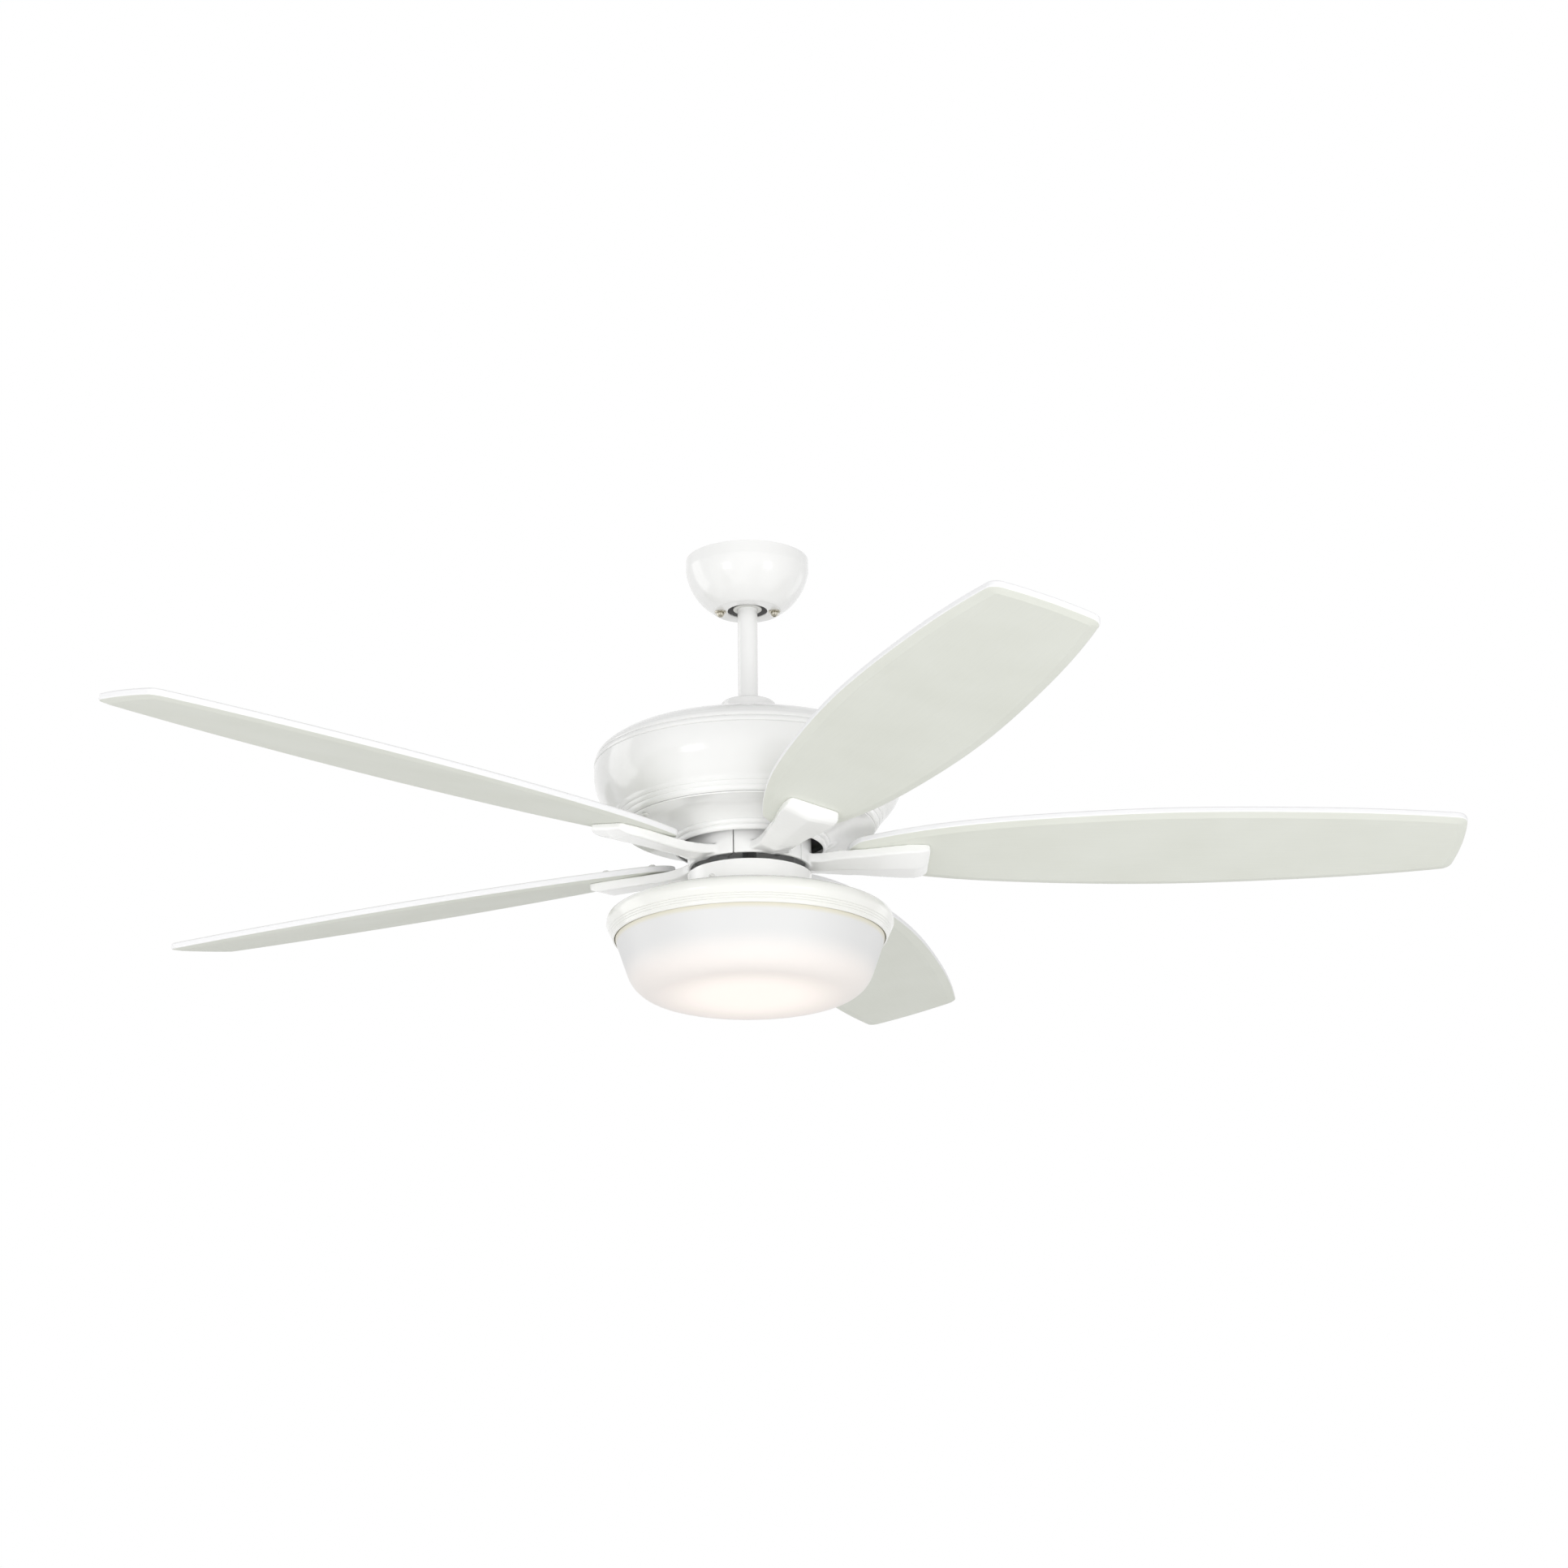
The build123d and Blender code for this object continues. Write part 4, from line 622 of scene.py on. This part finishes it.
iron_sheets = layered_metal(
    "blackened_iron_sheets", "#55555A", "#2C2C2E", roughness=0.45, pitch_mm=2.0
)
dress(iron_sheets, "rotor_ring", "stator_core")
copper_wire = layered_metal(
    "lacquered_copper_wire", "#C0703C", "#6E3A1C", roughness=0.3, pitch_mm=1.8
)
dress(copper_wire, "stator_windings")

# ---------------------------------------------------------------------------------------
# Lamp board and its boxes: the board is aluminium under a white solder mask, and each lamp
# on it is a square chip under yellow phosphor. The driver and receiver sit in white cases.

mask, tree, shader = new_material("white_solder_mask")
place = add_node(tree, "ShaderNodeTexCoord").outputs["Object"]
axes = add_node(tree, "ShaderNodeSeparateXYZ", links={"Vector": place})
board_foot, chip_height, mottle_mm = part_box("led_board")[0][2], 0.0004, 3.0
chip = add_node(
    tree, "ShaderNodeMath", {"operation": "LESS_THAN"}, {1: board_foot + chip_height},
    {0: axes.outputs["Z"]},
)
mottle = add_node(
    tree, "ShaderNodeTexNoise", values={"Scale": 1000 / mottle_mm, "Detail": 2.0}, links={"Vector": place}
)
ground = add_node(
    tree, "ShaderNodeMix", {"data_type": "RGBA"},
    {"A": linear("#E9E9E2"), "B": linear("#E1E1DA")}, {"Factor": mottle.outputs["Fac"]},
)
tint = add_node(
    tree, "ShaderNodeMix", {"data_type": "RGBA"}, {"B": linear("#F0D35A")},
    {"Factor": chip.outputs["Value"], "A": ground.outputs["Result"]},
)
tree.links.new(tint.outputs["Result"], shader.inputs["Base Color"])
shader.inputs["Roughness"].default_value = 0.35
dress(mask, "led_board")
case = gloss_enamel(
    "white_moulded_polycarbonate", "#EDEDE9", "#E6E6E1", peel_mm=1.0, peel=0.00003, roughness=0.4
)
dress(case, "led_driver", "control_receiver")

# ---------------------------------------------------------------------------------------
# Screws: cold-headed steel with a pan head and a cross recess. Most that show are white, as
# are the blades' washers; the canopy's two and their cupped washers are nickel plated, the
# hidden ones zinc plated, and the earth screw is dipped green.

nickel = plated("polished_nickel_plate", "#CBC6B8", roughness=0.14)
screw_white = gloss_enamel(
    "enamelled_screw_heads", "#F1F1EF", "#E9E9E6", peel_mm=0.8, peel=0.00002, roughness=0.22
)
dress(screw_white, "blade_washers")
green = gloss_enamel(
    "green_dipped_screw", "#2E7D46", "#276B3C", peel_mm=1.0, peel=0.00002, roughness=0.35
)


def pan_head_screw(head, height, shank, length):
    """One screw on the Z axis, its head's seat at zero and its shank below."""
    ridge, pitch, under_head, point = shank * 0.82, 0.0007, 0.0003, 0.0012
    profile = [(head * r, height * z) for r, z in ((0, 1), (0.35, 0.985), (0.65, 0.87), (0.88, 0.62))]
    profile += [(head * r, height * z) for r, z in ((0.98, 0.34), (1, 0.12), (0.97, 0))] + [(shank, 0)]
    # The thread is a row of plain ridges.
    for number in range(int((length - point) / pitch)):
        top = -under_head - number * pitch
        profile += [(shank, top), (ridge, top - 0.5 * pitch)]
    profile += [(ridge * 0.8, 0.0002 - length), (0, -length)]
    screw = spin_outline("screw", profile, 28)
    # Each arm of the cross narrows to the bottom of the recess.
    arm, width, deep = head * 0.52, head * 0.13, height * 0.62
    for quarter in (0, 1):
        bpy.ops.object.select_all(action="DESELECT")
        bpy.ops.mesh.primitive_cube_add(size=2, location=(0, 0, 0))
        cutter = bpy.context.object
        for vertex in cutter.data.vertices:
            low = vertex.co.z < 0
            reach, side = (arm * 0.45, width * 0.6) if low else (arm, width)
            across, along = vertex.co.x * reach, vertex.co.y * side
            vertex.co = (across, along, height - deep) if low else (across, along, height + 0.001)
            if quarter:
                vertex.co.x, vertex.co.y = -vertex.co.y, vertex.co.x
        pick(screw)
        cut = screw.modifiers.new("recess", "BOOLEAN")
        cut.operation, cut.object, cut.solver = "DIFFERENCE", cutter, "EXACT"
        bpy.ops.object.modifier_apply(modifier=cut.name)
        bpy.data.objects.remove(cutter)
    bpy.ops.object.shade_smooth_by_angle(angle=math.radians(32))
    return screw


def place_screws(name, node, body, finish, sizes, places):
    """Copies a screw of (head, height, shank, length) to each (seat, way its head looks)."""
    recess_turn = 0.65
    master = pan_head_screw(*sizes)
    master.data.materials.append(finish)
    copies = []
    for number, (seat, way) in enumerate(places):
        copy = master.copy()
        copy.data = master.data.copy()
        bpy.context.scene.collection.objects.link(copy)
        recess = Matrix.Rotation(number * recess_turn, 4, "Z")
        facing = Vector(way).to_track_quat("Z", "Y").to_matrix().to_4x4()
        copy.data.transform(Matrix.Translation(seat) @ facing @ recess)
        copies.append(copy)
    bpy.data.objects.remove(master)
    pick(*copies)
    if len(copies) > 1:
        bpy.ops.object.join()
    piece = bpy.context.object
    piece.name = name
    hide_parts(node)
    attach(piece, body)


def ring_of(radius, height, first, count):
    """Points spaced evenly round the axis, the first one turned by some degrees."""
    turns = [math.radians(first + 360 * k / count) for k in range(count)]
    return [Vector((radius * math.cos(a), radius * math.sin(a), height)) for a in turns]


head, head_height, shank = 0.0039, 0.0026, 0.00195
up, down = Vector((0, 0, 1)), Vector((0, 0, -1))
canopy_screw_sides, washer_face = (-0.029, 0.029), -0.0589
washer_outline = [
    (0.0024, -0.0576), (0.0045, -0.0575), (0.0062, -0.0573), (0.0064, -0.0577), (0.0060, -0.0583),
    (0.0046, -0.0587), (0.0024, -0.0588), (0.0022, -0.0582), (0.0024, -0.0576),
]
cupped = []
for side in canopy_screw_sides:
    washer = spun_shell("cupped_washer", washer_outline, wall=ring_skin, finish=nickel)
    washer.data.transform(Matrix.Translation((side, 0, 0)))
    cupped.append(washer)
pick(*cupped)
bpy.ops.object.join()
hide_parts("canopy_washers")
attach(bpy.context.object, "ceiling_mount")
place_screws(
    "canopy_cross_screws", "canopy_screws", "ceiling_mount", nickel,
    (0.0041, 0.0044, shank, 0.019), [(Vector((x, 0, washer_face)), down) for x in canopy_screw_sides],
)
place_screws(
    "earth_screw", "ground_screw", "ceiling_mount", green,
    (head, 0.0024, shank, 0.0024), [(Vector((-0.026, 0, -0.0025)), down)],
)
place_screws(
    "yoke_cross_screws", "yoke_screws", "hanging_motor", zinc,
    (0.0033, 0.0024, 0.0015, 0.0094),
    [(p, up) for p in ring_of(radius=0.0203, height=-0.203, first=45, count=4)],
)
place_screws(
    "housing_cross_screws", "housing_screws", "hanging_motor", screw_white,
    (head, head_height, shank, 0.0042),
    [(p, down) for p in ring_of(radius=0.125, height=-0.3040, first=90, count=3)],
)
arm_screw_radius, arm_screw_seat, arm_screw_turn = 0.053, arm_top - ring_wall, math.radians(19)
arm_places = []
for turn in blade_turns:
    for angle in (turn - arm_screw_turn, turn + arm_screw_turn):
        out = Vector((math.cos(angle), math.sin(angle), 0)) * arm_screw_radius
        arm_places.append((out + Vector((0, 0, arm_screw_seat)), down))
place_screws(
    "arm_cross_screws", "arm_screws", "rotor", zinc, (head, head_height, shank, 0.014),
    arm_places,
)
along = Vector((math.cos(blade_cone), 0, math.sin(blade_cone)))
across = Vector((0, math.cos(blade_pitch), -math.sin(blade_pitch)))
outward = along.cross(across).normalized()
washer_top, board_holes = 0.0055, ((0.172, -0.018), (0.172, 0.018), (0.124, 0))
board_places = []
for turn in blade_turns:
    spin = Matrix.Rotation(turn, 3, "Z")
    for reach, side in board_holes:
        seat = Vector((0, 0, blade_height)) + along * reach + across * side + outward * washer_top
        board_places.append((spin @ seat, spin @ outward))
place_screws(
    "board_cross_screws", "blade_screws", "rotor", screw_white,
    (head, head_height, shank, 0.019), board_places,
)
place_screws(
    "cup_cross_screws", "cup_screws", "hanging_motor", screw_white,
    (head, head_height, shank, 0.0047),
    [(p, Vector((p.x, p.y, 0))) for p in ring_of(radius=0.0654, height=-0.3706, first=233, count=3)],
)
place_screws(
    "pan_cross_screws", "pan_screws", "hanging_motor", zinc,
    (head, head_height, shank, 0.0042),
    [(p, down) for p in ring_of(radius=0.056, height=-0.392, first=0, count=3)],
)

# ---------------------------------------------------------------------------------------
# Studio: a white room over a pale floor, with two small soft boxes low in front, a panel on
# each side, and a wide bank and two low panels that leave no highlight. The camera stands
# low and looks up at the fan.

camera_data = bpy.data.cameras.new("camera")
camera_data.sensor_width = 36.0
camera_data.lens = 94.784534
camera_data.clip_end = 100.0
camera = bpy.data.objects.new("camera", camera_data)
bpy.context.scene.collection.objects.link(camera)
yaw, lift, roll = math.radians(0.512), math.radians(17.88), math.radians(-0.637)
forward = Vector((math.sin(yaw) * math.cos(lift), math.cos(yaw) * math.cos(lift), math.sin(lift)))
level = Vector((math.cos(yaw), -math.sin(yaw), 0))
upward = level.cross(forward)
right = level * math.cos(roll) + upward * math.sin(roll)
above = right.cross(forward)
placed = Matrix((right, above, -forward)).transposed().to_4x4()
placed.translation = (0, -4.1715, -1.5983)
camera.matrix_world = placed
bpy.context.scene.camera = camera


def soft_box(name, place, size, watts, mirrored=True):
    """A rectangular lamp that faces the fan, isn't seen itself, and may leave no highlight."""
    fan_middle = Vector((0, 0, -0.3))
    data = bpy.data.lights.new(name, "AREA")
    data.shape = "RECTANGLE"
    data.size, data.size_y = size
    data.energy = watts
    lamp = bpy.data.objects.new(name, data)
    lamp.location = place
    lamp.rotation_euler = (fan_middle - Vector(place)).to_track_quat("-Z", "Y").to_euler()
    lamp.visible_camera = False
    lamp.visible_glossy = mirrored
    bpy.context.scene.collection.objects.link(lamp)


soft_box("small_box_left", (-2.03, -2.33, -1.08), size=(0.8, 0.6), watts=5.2)
soft_box("small_box_right", (2.03, -2.33, -1.08), size=(0.8, 0.6), watts=5.2)
soft_box("side_panel_left", (-2.66, 0.87, -0.3), size=(1.3, 2.6), watts=11)
soft_box("side_panel_right", (2.2, 1.72, -0.6), size=(0.8, 1.6), watts=2)
soft_box("front_bank", (0, -4.4, -1.9), size=(7.6, 4.6), watts=136, mirrored=False)
soft_box("low_panel_left", (-3.2, -2.2, -1.9), size=(2.0, 1.6), watts=12, mirrored=False)
soft_box("low_panel_right", (3.2, -2.2, -1.9), size=(2.0, 1.6), watts=20, mirrored=False)


def seen_rays(tree):
    """1 for the rays that see or mirror a surface, 0 for those that light another one."""
    ray = add_node(tree, "ShaderNodeLightPath")
    mirrored = add_node(
        tree, "ShaderNodeMath", {"operation": "MAXIMUM"},
        links={0: ray.outputs["Is Glossy Ray"], 1: ray.outputs["Is Transmission Ray"]},
    )
    return add_node(
        tree, "ShaderNodeMath", {"operation": "MAXIMUM"},
        links={0: ray.outputs["Is Camera Ray"], 1: mirrored.outputs["Value"]},
    ).outputs["Value"]


floor_size, floor_height, floor_glow = 18, -4.2, 0.42
bpy.ops.object.select_all(action="DESELECT")
bpy.ops.mesh.primitive_plane_add(size=floor_size, location=(0, 0, floor_height))
floor = bpy.context.object
floor.name = "floor"
paper, tree, shader = new_material("white_paper_floor")
speckle = add_node(
    tree, "ShaderNodeTexNoise", values={"Scale": 300.0},
    links={"Vector": add_node(tree, "ShaderNodeTexCoord").outputs["Object"]},
)
tone = add_node(
    tree, "ShaderNodeMix", {"data_type": "RGBA"},
    {"A": linear("#EDEDEC"), "B": linear("#E9E9E8")}, {"Factor": speckle.outputs["Fac"]},
)
tree.links.new(tone.outputs["Result"], shader.inputs["Base Color"])
shader.inputs["Roughness"].default_value = 0.8
# The paper shows paler than it is lit, and keeps the fan's shadow.
paper_glow = add_node(
    tree, "ShaderNodeMath", {"operation": "MULTIPLY"}, {1: floor_glow}, {0: seen_rays(tree)}
)
tree.links.new(paper_glow.outputs["Value"], shader.inputs["Emission Strength"])
shader.inputs["Emission Color"].default_value = linear("#FFFFFF")
floor.data.materials.append(paper)

world = bpy.data.worlds.new("white_room")
world.use_nodes = True
bpy.context.scene.world = world
tree = world.node_tree
tree.nodes.clear()
# The room looks white, and lights the fan less than that.
white, room_light = linear("#FFFFFF"), 0.585
lit = add_node(tree, "ShaderNodeBackground", values={"Color": white, "Strength": room_light})
shown = add_node(tree, "ShaderNodeBackground", values={"Color": white, "Strength": 1.0})
both = add_node(
    tree, "ShaderNodeMixShader",
    links={0: seen_rays(tree), 1: lit.outputs["Background"], 2: shown.outputs["Background"]},
)
add_node(tree, "ShaderNodeOutputWorld", links={"Surface": both.outputs["Shader"]})
bpy.context.scene.view_settings.view_transform = "Standard"
